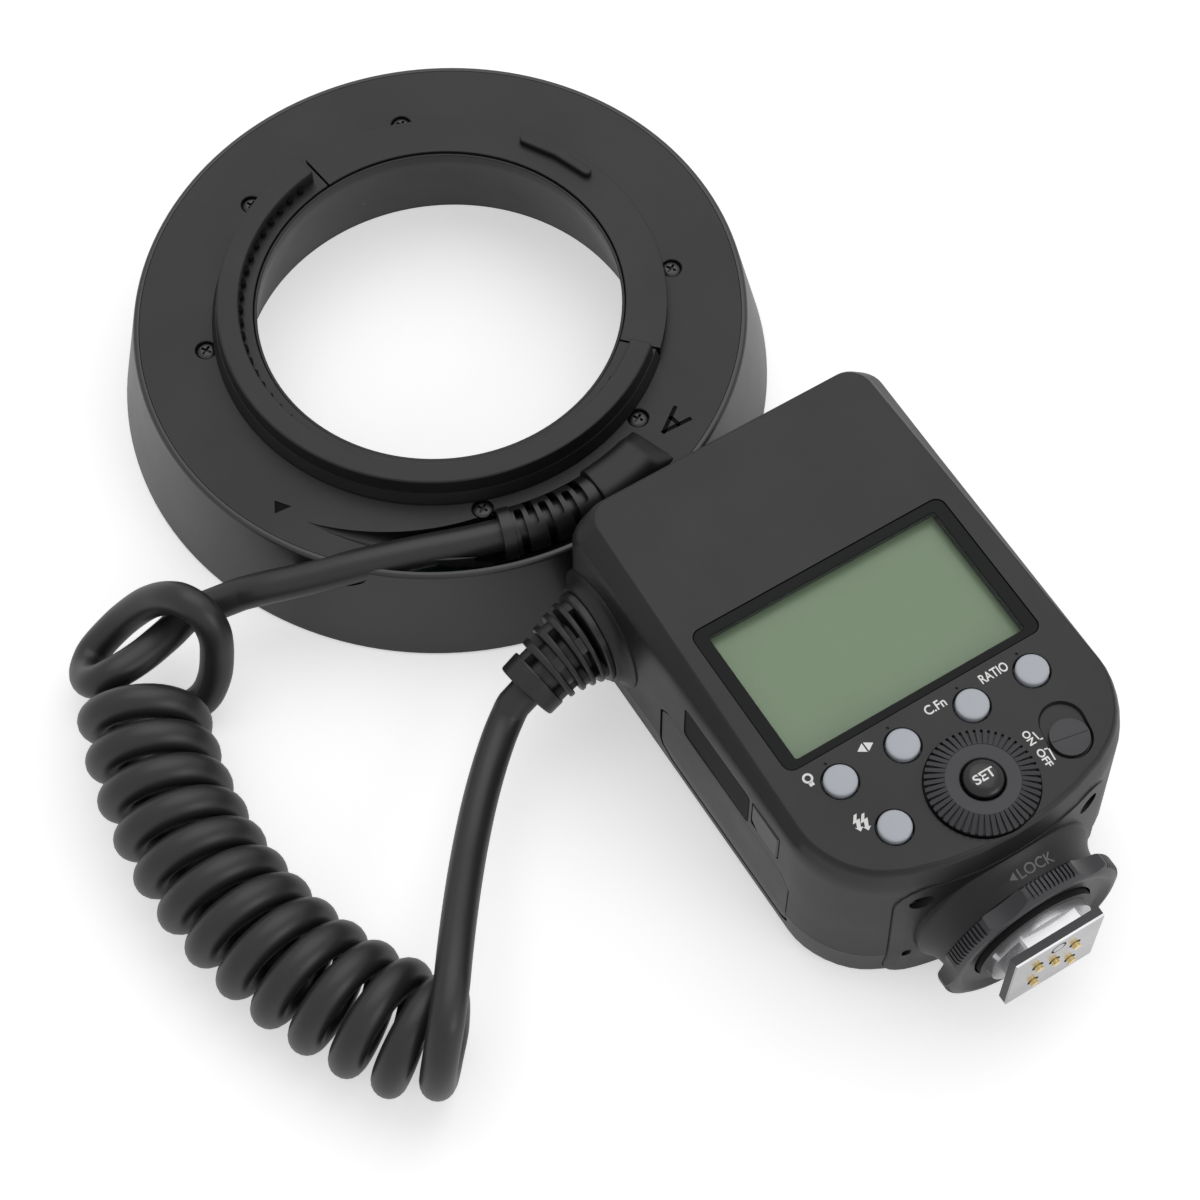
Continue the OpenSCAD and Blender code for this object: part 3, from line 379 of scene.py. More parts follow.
    def keep(self, other: "Shape") -> "Shape":
        """Keeps what lies inside another solid."""
        return self.combine(other, Join.KEEP)

    @classmethod
    def of_node(cls, node: str) -> "Shape":
        """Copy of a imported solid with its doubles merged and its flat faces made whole."""
        shape = cls()
        shape.bm.from_mesh(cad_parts[node].data)
        bmesh.ops.scale(shape.bm, vec=(1 / MM,) * 3, verts=shape.bm.verts)
        bmesh.ops.remove_doubles(shape.bm, verts=shape.bm.verts, dist=2e-3)
        bmesh.ops.dissolve_limit(
            shape.bm, angle_limit=math.radians(0.5), verts=shape.bm.verts, edges=shape.bm.edges,
        )
        return shape

    @classmethod
    def lettering(cls, text: str, width: float, height: float, thick: float = 0.03) -> "Shape":
        """Words as a thin raised shape, centred on the origin.

        Args:
            text: the words.
            width: width of the whole word.
            height: height of a capital letter.
            thick: how much bolder the strokes are.

        Returns:
            The shape.
        """
        curve = bpy.data.curves.new("words", "FONT")
        curve.body, curve.size = text, height * 1.42
        curve.extrude, curve.offset = 0.03, thick
        obj = show("words", curve)
        graph = bpy.context.evaluated_depsgraph_get()
        mesh = bpy.data.meshes.new_from_object(obj.evaluated_get(graph))
        shape = cls()
        shape.bm.from_mesh(mesh)
        bpy.data.objects.remove(obj)
        bpy.data.curves.remove(curve)
        bpy.data.meshes.remove(mesh)
        bmesh.ops.remove_doubles(shape.bm, verts=shape.bm.verts, dist=1e-4)
        xs = [v.co.x for v in shape.bm.verts]
        ys = [v.co.y for v in shape.bm.verts]
        fit = Matrix.Diagonal((width / (max(xs) - min(xs)), height / (max(ys) - min(ys)), 1.0, 1.0))
        return shape.move(fit @ shift(-(max(xs) + min(xs)) / 2, -(max(ys) + min(ys)) / 2, 0.0))

    def join(self, other: "Shape", place: Optional[Matrix] = None) -> list:
        """Lays another shape, which is used up, beside this one.

        Args:
            other: the other shape.
            place: where it goes, in millimetres.

        Returns:
            The new vertices.
        """
        if place is not None:
            other.move(place)
        known = set(self.bm.verts)
        mesh = bpy.data.meshes.new("joined")
        other.bm.to_mesh(mesh)
        other.bm.free()
        self.bm.from_mesh(mesh)
        bpy.data.meshes.remove(mesh)
        return self._fresh(known)

    def piece(
        self, name: str, finish: "Finish", body: Body = Body.FLASH, stands_for: Sequence[str] = (),
        place: Optional[Matrix] = None, slot: Optional[str] = None, sharp: float = 35.0,
        even: bool = True,
    ) -> bpy.types.Object:
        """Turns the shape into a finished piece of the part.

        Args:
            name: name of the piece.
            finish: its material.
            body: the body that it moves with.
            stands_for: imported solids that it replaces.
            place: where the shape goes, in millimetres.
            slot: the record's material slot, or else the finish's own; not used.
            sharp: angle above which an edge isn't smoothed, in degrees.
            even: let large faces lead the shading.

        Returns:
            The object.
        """
        if place is not None:
            self.move(place)
        bmesh.ops.scale(self.bm, vec=(MM,) * 3, verts=self.bm.verts)
        mesh = bpy.data.meshes.new(name)
        self.bm.to_mesh(mesh)
        self.bm.free()
        mesh.shade_smooth()
        mesh.set_sharp_from_angle(angle=math.radians(sharp))
        mesh.materials.append(finish.material())
        obj = show(name, mesh)
        if even:
            weigh = obj.modifiers.new("even_shading", "WEIGHTED_NORMAL")
            weigh.keep_sharp = True
        return settle_piece(obj, body, stands_for)


def settle_piece(
    obj: bpy.types.Object, body: Body, stands_for: Sequence[str],
) -> bpy.types.Object:
    """Puts a finished object on its body and reports it.

    Args:
        obj: the object.
        body: the body that it moves with.
        stands_for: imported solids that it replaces.

    Returns:
        The object.
    """
    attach(obj, body.value)
    if stands_for:
        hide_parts(*stands_for)
    LOG.info("%s rides on %s", obj.name, body.value)
    return obj


class Wiring:
    """Places and links shader nodes in one tree."""

    def __init__(self, tree: bpy.types.NodeTree) -> None:
        """Works on a node tree."""
        self.tree = tree

    def supply(self, node: bpy.types.Node, feeds: dict) -> None:
        """Gives inputs of a node a socket to follow, or a number or colour.

        Args:
            node: the node.
            feeds: a socket or value for some inputs, by name or number.
        """
        for key, value in feeds.items():
            if isinstance(value, bpy.types.NodeSocket):
                self.tree.links.new(value, node.inputs[key])
            else:
                node.inputs[key].default_value = value

    def node(self, kind: str, feeds: Optional[dict] = None, **fields: object) -> bpy.types.Node:
        """Adds a node.

        Args:
            kind: Blender's name of the node.
            feeds: a socket or value for some inputs.
            fields: fields of the node, which are set first.

        Returns:
            The node.
        """
        made = self.tree.nodes.new(kind)
        for key, value in fields.items():
            setattr(made, key, value)
        self.supply(made, feeds or {})
        return made

    def sums(self, kind: str, first: object, second: object, clamp: bool = False) -> bpy.types.NodeSocket:
        """Result of a sum with two sockets or numbers, kept between 0 and 1 if clamped."""
        return self.node("ShaderNodeMath", {0: first, 1: second}, operation=kind, use_clamp=clamp).outputs[0]

    def blend(self, share: object, first: object, second: object) -> bpy.types.NodeSocket:
        """Mix of two colours, by the share of the second."""
        return self.node("ShaderNodeMix", {0: share, 6: first, 7: second}, data_type="RGBA").outputs[2]


def fill_grain(wires: Wiring, source: bpy.types.Node, result: bpy.types.Node) -> None:
    """Fine moulded grain: small soft pits over a finer ripple."""
    place, scale = source.outputs["Place"], source.outputs["Scale"]
    coarse, fine = wires.sums("MULTIPLY", scale, 0.7), wires.sums("MULTIPLY", scale, 1.3)
    pits = wires.node("ShaderNodeTexVoronoi", {"Vector": place, "Scale": coarse}, feature="SMOOTH_F1")
    ripple = wires.node("ShaderNodeTexNoise", {"Vector": place, "Scale": fine, "Detail": 3.0})
    depth = wires.sums("MULTIPLY", pits.outputs["Distance"], 0.6)
    wires.supply(result, {"Height": wires.sums("ADD", depth, ripple.outputs["Fac"])})


def fill_handling(wires: Wiring, source: bpy.types.Node, result: bpy.types.Node) -> None:
    """Broad soft patches from handling and moulding."""
    place, scale, low, high = (source.outputs[label] for label in ("Place", "Scale", "Low", "High"))
    broad = wires.node("ShaderNodeTexNoise", {
        "Vector": place, "Scale": scale, "Detail": 4.0, "Roughness": 0.62,
    })
    spread = wires.node("ShaderNodeMapRange", {
        "Value": broad.outputs["Fac"], "From Min": 0.32, "From Max": 0.68, "To Min": low, "To Max": high,
    })
    wires.supply(result, {"Value": spread.outputs["Result"]})


def fill_dust(wires: Wiring, source: bpy.types.Node, result: bpy.types.Node) -> None:
    """A few fine specks of dust."""
    place, scale, size = (source.outputs[label] for label in ("Place", "Scale", "Size"))
    specks = wires.node("ShaderNodeTexVoronoi", {
        "Vector": place, "Scale": scale, "Randomness": 1.0,
    }, feature="F1")
    near = wires.sums("LESS_THAN", specks.outputs["Distance"], size)
    chance = wires.node("ShaderNodeSeparateColor", {"Color": specks.outputs["Color"]})
    some = wires.sums("LESS_THAN", chance.outputs["Red"], 0.5)
    wires.supply(result, {"Mask": wires.sums("MULTIPLY", near, some)})


def fill_wear_and_highlight_edges(wires: Wiring, source: bpy.types.Node, result: bpy.types.Node) -> None:
    """Mask of edges paled partly as wear and partly as painted highlight, where a rounded normal leaves the
    flat one.
    """
    rounded = wires.node("ShaderNodeBevel", {"Radius": source.outputs["Radius"]}, samples=4).outputs["Normal"]
    plain = wires.node("ShaderNodeNewGeometry").outputs["Normal"]
    agree = wires.node("ShaderNodeVectorMath", {0: rounded, 1: plain}, operation="DOT_PRODUCT")
    rough = wires.node("ShaderNodeTexNoise", {"Vector": source.outputs["Place"], "Scale": 420.0})
    away = wires.sums("SUBTRACT", 1.0, agree.outputs["Value"], clamp=True)
    paled = wires.sums("MULTIPLY", away, 4.0, clamp=True)
    wires.supply(result, {"Mask": wires.sums("MULTIPLY", paled, rough.outputs["Fac"])})


# Shared effects: number inputs, output and the function that wires the group
EFFECTS: dict[str, tuple[tuple[str, ...], str, Callable]] = {
    "moulded_grain": (("Scale",), "Height", fill_grain),
    "handling_patches": (("Scale", "Low", "High"), "Value", fill_handling),
    "dust_specks": (("Scale", "Size"), "Mask", fill_dust),
    "edge_wear_and_highlight": (("Radius",), "Mask", fill_wear_and_highlight_edges),
}

# How coarse the patches of sheen and of colour are, and the edges paled as wear and painted highlight and the
# specks, with their greys
SHEEN_SCALE = 38.0
COLOUR_SCALE = 61.0
WORN_LIT_EDGE, WORN_LIT_GREY = {"Radius": 0.00035}, 0.30
SPECKS, SPECK_GREY = {"Scale": 95.0, "Size": 0.016}, 0.62


def effect(name: str) -> bpy.types.NodeTree:
    """Shader node group that several finishes share, made once.

    Args:
        name: name of the group in EFFECTS.

    Returns:
        The group, whose first input is the place.
    """
    found = bpy.data.node_groups.get(name)
    if found is not None:
        return found
    inputs, output, fill = EFFECTS[name]
    tree = bpy.data.node_groups.new(name, "ShaderNodeTree")
    tree.interface.new_socket(name="Place", in_out="INPUT", socket_type="NodeSocketVector")
    for label in inputs:
        tree.interface.new_socket(name=label, in_out="INPUT", socket_type="NodeSocketFloat")
    tree.interface.new_socket(name=output, in_out="OUTPUT", socket_type="NodeSocketFloat")
    wires = Wiring(tree)
    fill(wires, wires.node("NodeGroupInput"), wires.node("NodeGroupOutput"))
    return tree


@dataclass(frozen=True)
class Finish:
    """A surface finish: colour, sheen and the fine structure of the material.

    Attributes:
        name: name of the material.
        colour: plain colour, linear.
        rough: roughness in the middle of its patches.
        patch: how far roughness strays from that.
        grain: height of the grain in millimetres, 0 for none.
        grain_size: size of the grain in millimetres.
        dust: share of dust colour in the specks.
        wear_and_highlight: how much paler the edges are, partly as wear and partly as painted highlight.
        metal: 1 for metal.
        specular: specular level.
        coat: weight of a clear coat.
        coat_rough: roughness of that coat.
        clear: transmission weight.
        alpha: 1 for opaque.
        tint: second colour of the broad patches, or none.
        slot: the record's material slot of pieces in this finish, or none; not used.
    """

    name: str
    colour: Colour
    rough: float = 0.5
    patch: float = 0.05
    grain: float = 0.0
    grain_size: float = 0.3
    dust: float = 0.0
    wear_and_highlight: float = 0.0
    metal: float = 0.0
    specular: float = 0.5
    coat: float = 0.0
    coat_rough: float = 0.05
    clear: float = 0.0
    alpha: float = 1.0
    tint: Optional[Colour] = None
    slot: Optional[str] = None

    def material(self) -> bpy.types.Material:
        """The Blender material, made at first use."""
        found = bpy.data.materials.get(self.name)
        if found is not None:
            return found
        made = bpy.data.materials.new(self.name)
        made.use_nodes = True
        wires = Wiring(made.node_tree)
        shader = made.node_tree.nodes["Principled BSDF"]
        shader.inputs["Base Color"].default_value = (*self.colour, 1.0)
        place = wires.node("ShaderNodeTexCoord").outputs["Object"]
        low, high = self.rough - self.patch, self.rough + self.patch
        wires.supply(shader, {
            "Metallic": self.metal, "Specular IOR Level": self.specular, "Coat Weight": self.coat,
            "Coat Roughness": self.coat_rough, "Transmission Weight": self.clear, "Alpha": self.alpha,
            "Roughness": self._group(wires, "handling_patches", place, Scale=SHEEN_SCALE, Low=low, High=high),
            "Base Color": self._colour(wires, place),
        })
        if self.grain > 0.0:
            wires.supply(shader, {"Normal": self._bump(wires, place)})
        return made

    @staticmethod
    def _group(wires: Wiring, name: str, place: bpy.types.NodeSocket, **values: float) -> bpy.types.NodeSocket:
        """Places a shared effect with its own values; returns its output."""
        return wires.node("ShaderNodeGroup", {"Place": place, **values}, node_tree=effect(name)).outputs[0]

    def _colour(self, wires: Wiring, place: bpy.types.NodeSocket) -> bpy.types.NodeSocket:
        """Colour with broad patches, edges paled as wear and painted highlight, and specks."""
        second = self.tint or tuple(min(1.0, c * 1.22) for c in self.colour)
        patches = self._group(wires, "handling_patches", place, Scale=COLOUR_SCALE, Low=0.0, High=1.0)
        colour = wires.blend(patches, (*self.colour, 1.0), (*second, 1.0))
        # Edges are paled partly as wear and partly as a painted highlight on their rounding; the specks are
        # dust.
        for amount, name, pale, values in (
            (self.wear_and_highlight, "edge_wear_and_highlight", WORN_LIT_GREY, WORN_LIT_EDGE), (self.dust, "dust_specks", SPECK_GREY, SPECKS),
        ):
            if amount > 0.0:
                mask = wires.sums("MULTIPLY", self._group(wires, name, place, **values), amount)
                colour = wires.blend(mask, colour, (pale, pale, pale * 0.98, 1.0))
        return colour

    def _bump(self, wires: Wiring, place: bpy.types.NodeSocket) -> bpy.types.NodeSocket:
        """Normal with the grain as a bump."""
        grain = self._group(wires, "moulded_grain", place, Scale=1.0 / (self.grain_size * MM))
        bump = wires.node("ShaderNodeBump", {"Strength": 1.0, "Distance": self.grain * MM, "Height": grain})
        return bump.outputs["Normal"]


SHELL = Finish("shell_plastic", (0.0085, 0.0085, 0.0095), 0.43, 0.04, 0.012, 0.30, specular=0.4, dust=0.5,
               slot="body_plastic")
WALL = Finish("ring_wall_plastic", (0.0095, 0.0095, 0.0105), 0.36, 0.03, 0.008, 0.26, specular=0.68, dust=0.3,
              slot="body_plastic")
# Control plastic pales its edges a little, partly as wear and partly as painted highlight.
CONTROL = Finish("control_plastic", (0.009, 0.009, 0.0098), 0.40, 0.05, 0.006, 0.22, wear_and_highlight=0.05,
                 slot="control_plastic")
SMOOTH = Finish("smooth_plastic", (0.007, 0.007, 0.0075), 0.26, 0.04, 0.002, 0.4, slot="control_plastic")
PAD = Finish("finger_pad_plastic", (0.0045, 0.0045, 0.005), 0.75, 0.04, 0.06, 0.55, specular=0.25,
             slot="body_plastic")
CORD = Finish("cord_rubber", (0.007, 0.007, 0.0075), 0.27, 0.05, 0.004, 0.35, dust=0.15, slot="cord_rubber")
BOOT = Finish("boot_rubber", (0.008, 0.008, 0.0085), 0.34, 0.05, 0.005, 0.3, slot="cord_rubber")
# The screws' edges are paled, partly as wear and partly as painted highlight.
SCREW = Finish("blackened_screw", (0.05, 0.05, 0.052), 0.34, 0.06, 0.004, 0.2, wear_and_highlight=0.3, metal=1.0,
               slot="black_metal")
KEY = Finish("key_grey", (0.455, 0.482, 0.525), 0.36, 0.03, 0.002, 0.3, coat=0.2, coat_rough=0.18,
             tint=(0.472, 0.499, 0.542), slot="button_grey")
FRAME = Finish("window_frame_gloss", (0.0045, 0.005, 0.0055), 0.12, 0.02, specular=0.12, dust=0.3,
               slot="window_plastic")
PANE = Finish("window_pane", (0.4, 0.42, 0.4), 0.04, 0.01, alpha=0.04, slot="window_plastic")
DISPLAY = Finish("display_green", (0.164, 0.262, 0.132), 0.30, 0.01, coat=0.2, coat_rough=0.08, dust=0.12,
                 tint=(0.168, 0.268, 0.136))
# Near-black copy of the body plastic: painted shade for the collar's teeth and the floor of the engraved marks.
RECESS_SHADE = Finish("painted_recess_shade", (0.0035, 0.0035, 0.0038), 0.8, 0.04, 0.004, 0.2, specular=0.15,
                  slot="body_plastic")
INK = Finish("white_print", (0.80, 0.80, 0.79), 0.45, 0.05, 0.003, 0.2)
MARK = Finish("moulded_word", (0.15, 0.15, 0.153), 0.55, 0.05, 0.003, 0.2)
STEEL = Finish("bright_steel", (0.46, 0.46, 0.47), 0.27, 0.06, 0.004, 0.5, metal=1.0)
BRASS = Finish("plated_brass", (0.78, 0.60, 0.28), 0.22, 0.05, 0.002, 0.3, metal=1.0)
COPPER = Finish("copper_winding", (0.45, 0.21, 0.09), 0.34, 0.06, 0.02, 0.25, metal=1.0)
BOARD = Finish("circuit_board", (0.022, 0.095, 0.045), 0.38, 0.06, 0.01, 0.6, coat=0.2)
SLEEVE = Finish("capacitor_sleeve", (0.02, 0.026, 0.06), 0.32, 0.04, 0.003, 0.4)
RUBBER = Finish("pad_rubber", (0.09, 0.09, 0.09), 0.62, 0.04, 0.006, 0.3)
CLEAR = Finish("front_prisms", (0.86, 0.88, 0.90), 0.18, 0.03, 0.004, 0.4, clear=0.55)
GLASS = Finish("tube_glass", (0.92, 0.94, 0.96), 0.05, 0.02, clear=0.85)
MIRROR = Finish("reflector_metal", (0.78, 0.78, 0.79), 0.16, 0.05, 0.003, 0.5, metal=1.0)
LAMP = Finish("lamp_lens", (0.86, 0.84, 0.70), 0.14, 0.03, clear=0.4)


def dress(finish: Finish, *nodes: str) -> None:
    """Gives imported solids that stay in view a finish."""
    for name in nodes:
        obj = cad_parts[name]
        if not obj.material_slots:
            obj.data.materials.append(None)
        for slot in obj.material_slots:
            slot.material = finish.material()
        LOG.info("%s keeps its packed shape", name)


@dataclass
class Studio:
    """Camera, pale floor and soft light.

    Attributes:
        focal: focal length in pixels of the 1200 pixel picture.
        picture: side of the picture in pixels.
        elevation: how steeply the camera looks down, in degrees.
        roll: turn about the line of sight, in degrees.
        target: the point that it looks at, in millimetres.
        distance: from the camera to that point, in millimetres.
        floor_lift: added to the floor's brightness where it is seen.
        floor_mirrored: share of that in mirrored views.
        dome: brightness of the dome.
        dome_mirrored: how white the dome is in mirrored views.
        softboxes: name, place in metres, side and watts of each light.
    """

    focal: float = 2773.0
    picture: float = 1200.0
    sensor: float = 36.0
    elevation: float = 61.61
    roll: float = -1.71
    target: Vector = field(default_factory=lambda: Vector((30.06, -54.82, 0.0)))
    distance: float = 545.6
    floor_lift: float = 0.5
    floor_mirrored: float = 0.65
    dome: float = 0.42
    dome_mirrored: float = 0.6
    softboxes: tuple[tuple[str, Corner, float, float], ...] = (
        ("overhead_softbox", (0.15, 0.55, 1.30), 1.5, 7.4),
        ("front_right_softbox", (0.85, -0.70, 0.60), 0.6, 2.2),
    )

    @staticmethod
    def _seen(wires: Wiring, mirrored: float) -> bpy.types.NodeSocket:
        """1 in direct view, and less where it is seen mirrored."""
        path = wires.node("ShaderNodeLightPath")
        direct = wires.sums("MAXIMUM", path.outputs["Is Camera Ray"], path.outputs["Is Transmission Ray"])
        return wires.sums("MAXIMUM", direct, wires.sums("MULTIPLY", path.outputs["Is Glossy Ray"], mirrored))

    def camera(self) -> None:
        """Sets the camera at the photograph's viewing angle."""
        tilt, roll = math.radians(self.elevation), math.radians(self.roll)
        ahead = Vector((0.0, math.cos(tilt), -math.sin(tilt)))
        side = Vector((1.0, 0.0, 0.0))
        up = side.cross(ahead)
        right = side * math.cos(roll) + up * math.sin(roll)
        above = up * math.cos(roll) - side * math.sin(roll)
        data = bpy.data.cameras.new("camera")
        data.sensor_width = self.sensor
        data.lens = self.focal * self.sensor / self.picture
        data.clip_start, data.clip_end = 0.01, 50.0
        cam = show("camera", data)
        place = Matrix((right, above, -ahead)).transposed().to_4x4()
        place.translation = (self.target - ahead * self.distance) * MM
        cam.matrix_world = place
        bpy.context.scene.camera = cam

    def floor(self) -> None:
        """Pale floor that shows white to the camera and keeps the soft shadow."""
        shape = bmesh.new()
        bmesh.ops.create_grid(shape, x_segments=1, y_segments=1, size=6.0)
        bmesh.ops.translate(shape, verts=shape.verts, vec=(0, 0, -0.0001))
        mesh = bpy.data.meshes.new("floor")
        shape.to_mesh(mesh)
        shape.free()
        show("floor", mesh)
        mat = bpy.data.materials.new("pale_floor")
        mat.use_nodes = True
        nodes, wires = mat.node_tree.nodes, Wiring(mat.node_tree)
        shader = nodes["Principled BSDF"]
        pale = (0.86, 0.86, 0.86, 1.0)
        wires.supply(shader, {"Base Color": pale, "Roughness": 0.9, "Specular IOR Level": 0.0})
        seen = wires.sums("MULTIPLY", self._seen(wires, self.floor_mirrored), self.floor_lift)
        glow = wires.node("ShaderNodeEmission", {"Strength": seen})
        both = wires.node("ShaderNodeAddShader", {0: shader.outputs["BSDF"], 1: glow.outputs["Emission"]})
        wires.supply(nodes["Material Output"], {"Surface": both.outputs["Shader"]})
        mesh.materials.append(mat)

    def light(self) -> None:
        """Even dome with a large soft light above and a weaker one at the front right."""
        world = bpy.data.worlds.new("studio")
        bpy.context.scene.world = world
        world.use_nodes = True
        nodes, wires = world.node_tree.nodes, Wiring(world.node_tree)
        white = (1.0, 1.0, 1.0, 1.0)
        dome = nodes["Background"]
        wires.supply(dome, {"Color": white, "Strength": self.dome})
        backdrop = wires.node("ShaderNodeBackground", {"Color": white, "Strength": 1.0})
        mix = wires.node("ShaderNodeMixShader", {
            0: self._seen(wires, self.dome_mirrored), 1: dome.outputs["Background"],
            2: backdrop.outputs["Background"],
        })
        wires.supply(nodes["World Output"], {"Surface": mix.outputs["Shader"]})
        for softbox in self.softboxes:
            self._lamp(*softbox)

    def _lamp(self, name: str, at: Sequence[float], size: float, watts: float) -> None:
        """Square soft light that looks at the middle of the part.

        Args:
            name: name of the light.
            at: its place in metres.
            size: its side in metres.
            watts: its power.
        """
        data = bpy.data.lights.new(name, "AREA")
        data.shape, data.size, data.energy = "SQUARE", size, watts
        obj = show(name, data)
        way = self.target * MM - Vector(at)
        obj.location = at
        obj.rotation_mode = "QUATERNION"
        obj.rotation_quaternion = way.to_track_quat("-Z", "Y")

    def build(self) -> None:
        """Camera, floor and light."""
        bpy.context.scene.view_settings.view_transform = "Standard"
        self.camera()
        self.floor()
        self.light()


# Points that the cord passes: off the ring head, round the opened loop, up from the curls, to the controller
TAIL_WAY = ((-3, -54.6, 21.3), (-11, -56.1, 21), (-18, -57.4, 20.4), (-26, -58.8, 19.2), (-33, -59.7, 18.1))
LOOP_WAY = (
    (-48.7, -62.8, 13.6), (-52.4, -66.6, 13.3), (-57, -71.6, 14.2), (-61.8, -75.4, 14.8), (-65.4, -76, 12.8),
    (-67.8, -74, 9.8), (-68.7, -70.8, 7.6), (-67.9, -67.2, 7.2), (-65.2, -64.6, 9), (-60.7, -62.6, 13),
    (-55.4, -62.4, 18.5), (-50.5, -64.1, 23), (-46.9, -66.1, 24.5), (-44, -68.2, 23.2), (-42.5, -70.2, 19.5),
    (-42.7, -72, 14.5), (-43.8, -74.3, 9.5), (-46.4, -76.5, 5.4), (-51.4, -78.9, 4),
)
RISE_WAY = (
    (1.1, -143.9, 5.8), (0, -148.6, 3.7), (-0.7, -153.2, 5.8), (-1, -156.2, 10.6), (-0.6, -156.9, 16.4),
    (0.3, -155.2, 22),
)
END_WAY = (
    (3, -137.3, 26), (3.6, -130, 23.6), (4.4, -122, 20.9), (5.4, -114, 18.3), (6.8, -105.6, 16.3),
    (8.5, -98, 15.1), (10.4, -91.8, 15.2), (12, -88, 15.9),
)


@dataclass
class CurlyCord:
    """The cord from the ring head to the controller, on one smooth line.

    Attributes:
        radius: of the cord.
        curl_r: of the curls, to the middle of the cord.
        curl_z: height of the middle of the curls.
        curl_mid: middle of the arc that the curls lie on.
        curl_bow: radius of that arc.
        curl_start: where on the arc they start, in degrees.
        curl_gap: between one curl and the next, at the inside of the arc.
        curls: how many there are.
        length: of the whole cord, in metres; not used.
        per_turn: points on each curl.
        steps: points between two chosen ones elsewhere.
    """

    radius: float = 3.25
    curl_r: float = 9.15
    curl_z: float = 12.7
    curl_mid: Vector = field(default_factory=lambda: Vector((31.9, -65.8)))
    curl_bow: float = 89.9
    curl_start: float = 187.4
    curl_gap: float = 0.45
    curls: float = 11.75
    length: float = 0.959
    per_turn: int = 40
    steps: int = 7

    def __post_init__(self) -> None:
        """Works out where the cord enters and leaves the two housings."""
        self.exit = OUTLET
        self.exit_way = Vector((math.sin(OUTLET_A), -math.cos(OUTLET_A), 0.0))
        self.join = Vector((-41.5, -60.8, 15.5))
        self.join_way = Vector((-0.94, -0.24, -0.24)).normalized()
        self.leave = Vector((2.0, -147.6, 27.2))
        self.leave_way = Vector((0.14, 0.98, 0.12)).normalized()
        self.curl_step = math.degrees((2 * self.radius + self.curl_gap) / (self.curl_bow - self.curl_r))
        self.tip_way = (Matrix.Rotation(BODY_TURN, 3, "Z") @ BOOT_WAY).normalized()
        self.tip = ON_BODY @ BOOT_PIVOT + self.tip_way * BOOT_REACH

    def _smooth(self, spots: Sequence[Vector]) -> list[Vector]:
        """Smooth line through all but the first and last of some points.

        Args:
            spots: the points.

        Returns:
            The points of the line.
        """
        line = []
        for a, b, c, d in zip(spots, spots[1:], spots[2:], spots[3:]):
            for j in range(self.steps):
                t = j / self.steps
                line.append(0.5 * (2 * b + t * (c - a) + t * t * (2 * a - 5 * b + 4 * c - d)
                                   + t ** 3 * (3 * b - a - 3 * c + d)))
        return line

    def curl(self, t: float) -> Vector:
        """Point on the curls, counted in curls from their start."""
        way = math.radians(self.curl_start + self.curl_step * t)
        ray = Vector((math.cos(way), math.sin(way)))
        mid = self.curl_mid + self.curl_bow * ray
        side = mid - ray * (self.curl_r * math.sin(math.tau * t))
        return Vector((side.x, side.y, self.curl_z + self.curl_r * math.cos(math.tau * t)))

    def line(self) -> list[Vector]:
        """The whole line from the ring head to the controller."""
        lead = self.radius
        first, last = 0.5, 0.5 + self.curls
        count = round(self.curls * self.per_turn)
        curls = [self.curl(first + i / self.per_turn) for i in range(count + 1)]
        tail = [self.exit, self.exit + self.exit_way * 2 * lead, *map(Vector, TAIL_WAY),
                self.join - self.join_way * lead, self.join]
        loop = [self.join, self.join + self.join_way * lead, *map(Vector, LOOP_WAY),
                self.curl(first), self.curl(first + 0.125)]
        rise = [self.curl(last - 0.125), self.curl(last), *map(Vector, RISE_WAY),
                self.leave - self.leave_way * lead, self.leave]
        end = [self.leave, self.leave + self.leave_way * lead, *map(Vector, END_WAY),
               self.tip + self.tip_way * lead, self.tip]
        return [tail[0], *self._smooth(tail), tail[-2], self.join, *self._smooth(loop), *curls[:-1],
                *self._smooth(rise), rise[-2], self.leave, *self._smooth(end), end[-2], end[-1]]

    def build(self, boots: Sequence[bpy.types.Object]) -> None:
        """Args:
            boots: strain reliefs at its two ends; not used.
        """
        points = self.line()
        measured = sum((b - a).length for a, b in zip(points, points[1:])) * MM
        LOG.info("cord measures %.3f m", measured)
        curve = bpy.data.curves.new("curly_cord", "CURVE")
        curve.dimensions = "3D"
        curve.bevel_depth = self.radius * MM
        curve.bevel_resolution = 8
        curve.use_fill_caps = True
        spline = curve.splines.new("POLY")
        spline.points.add(len(points) - 1)
        for knot, p in zip(spline.points, points):
            knot.co = (*(p * MM), 1.0)
        spline.use_smooth = True
        curve.materials.append(CORD.material())
        obj = show("curly_cord", curve)
        settle_piece(obj, Body.FLASH, ("cord_ring_tail", "cord_coil", "cord_body_tail"))


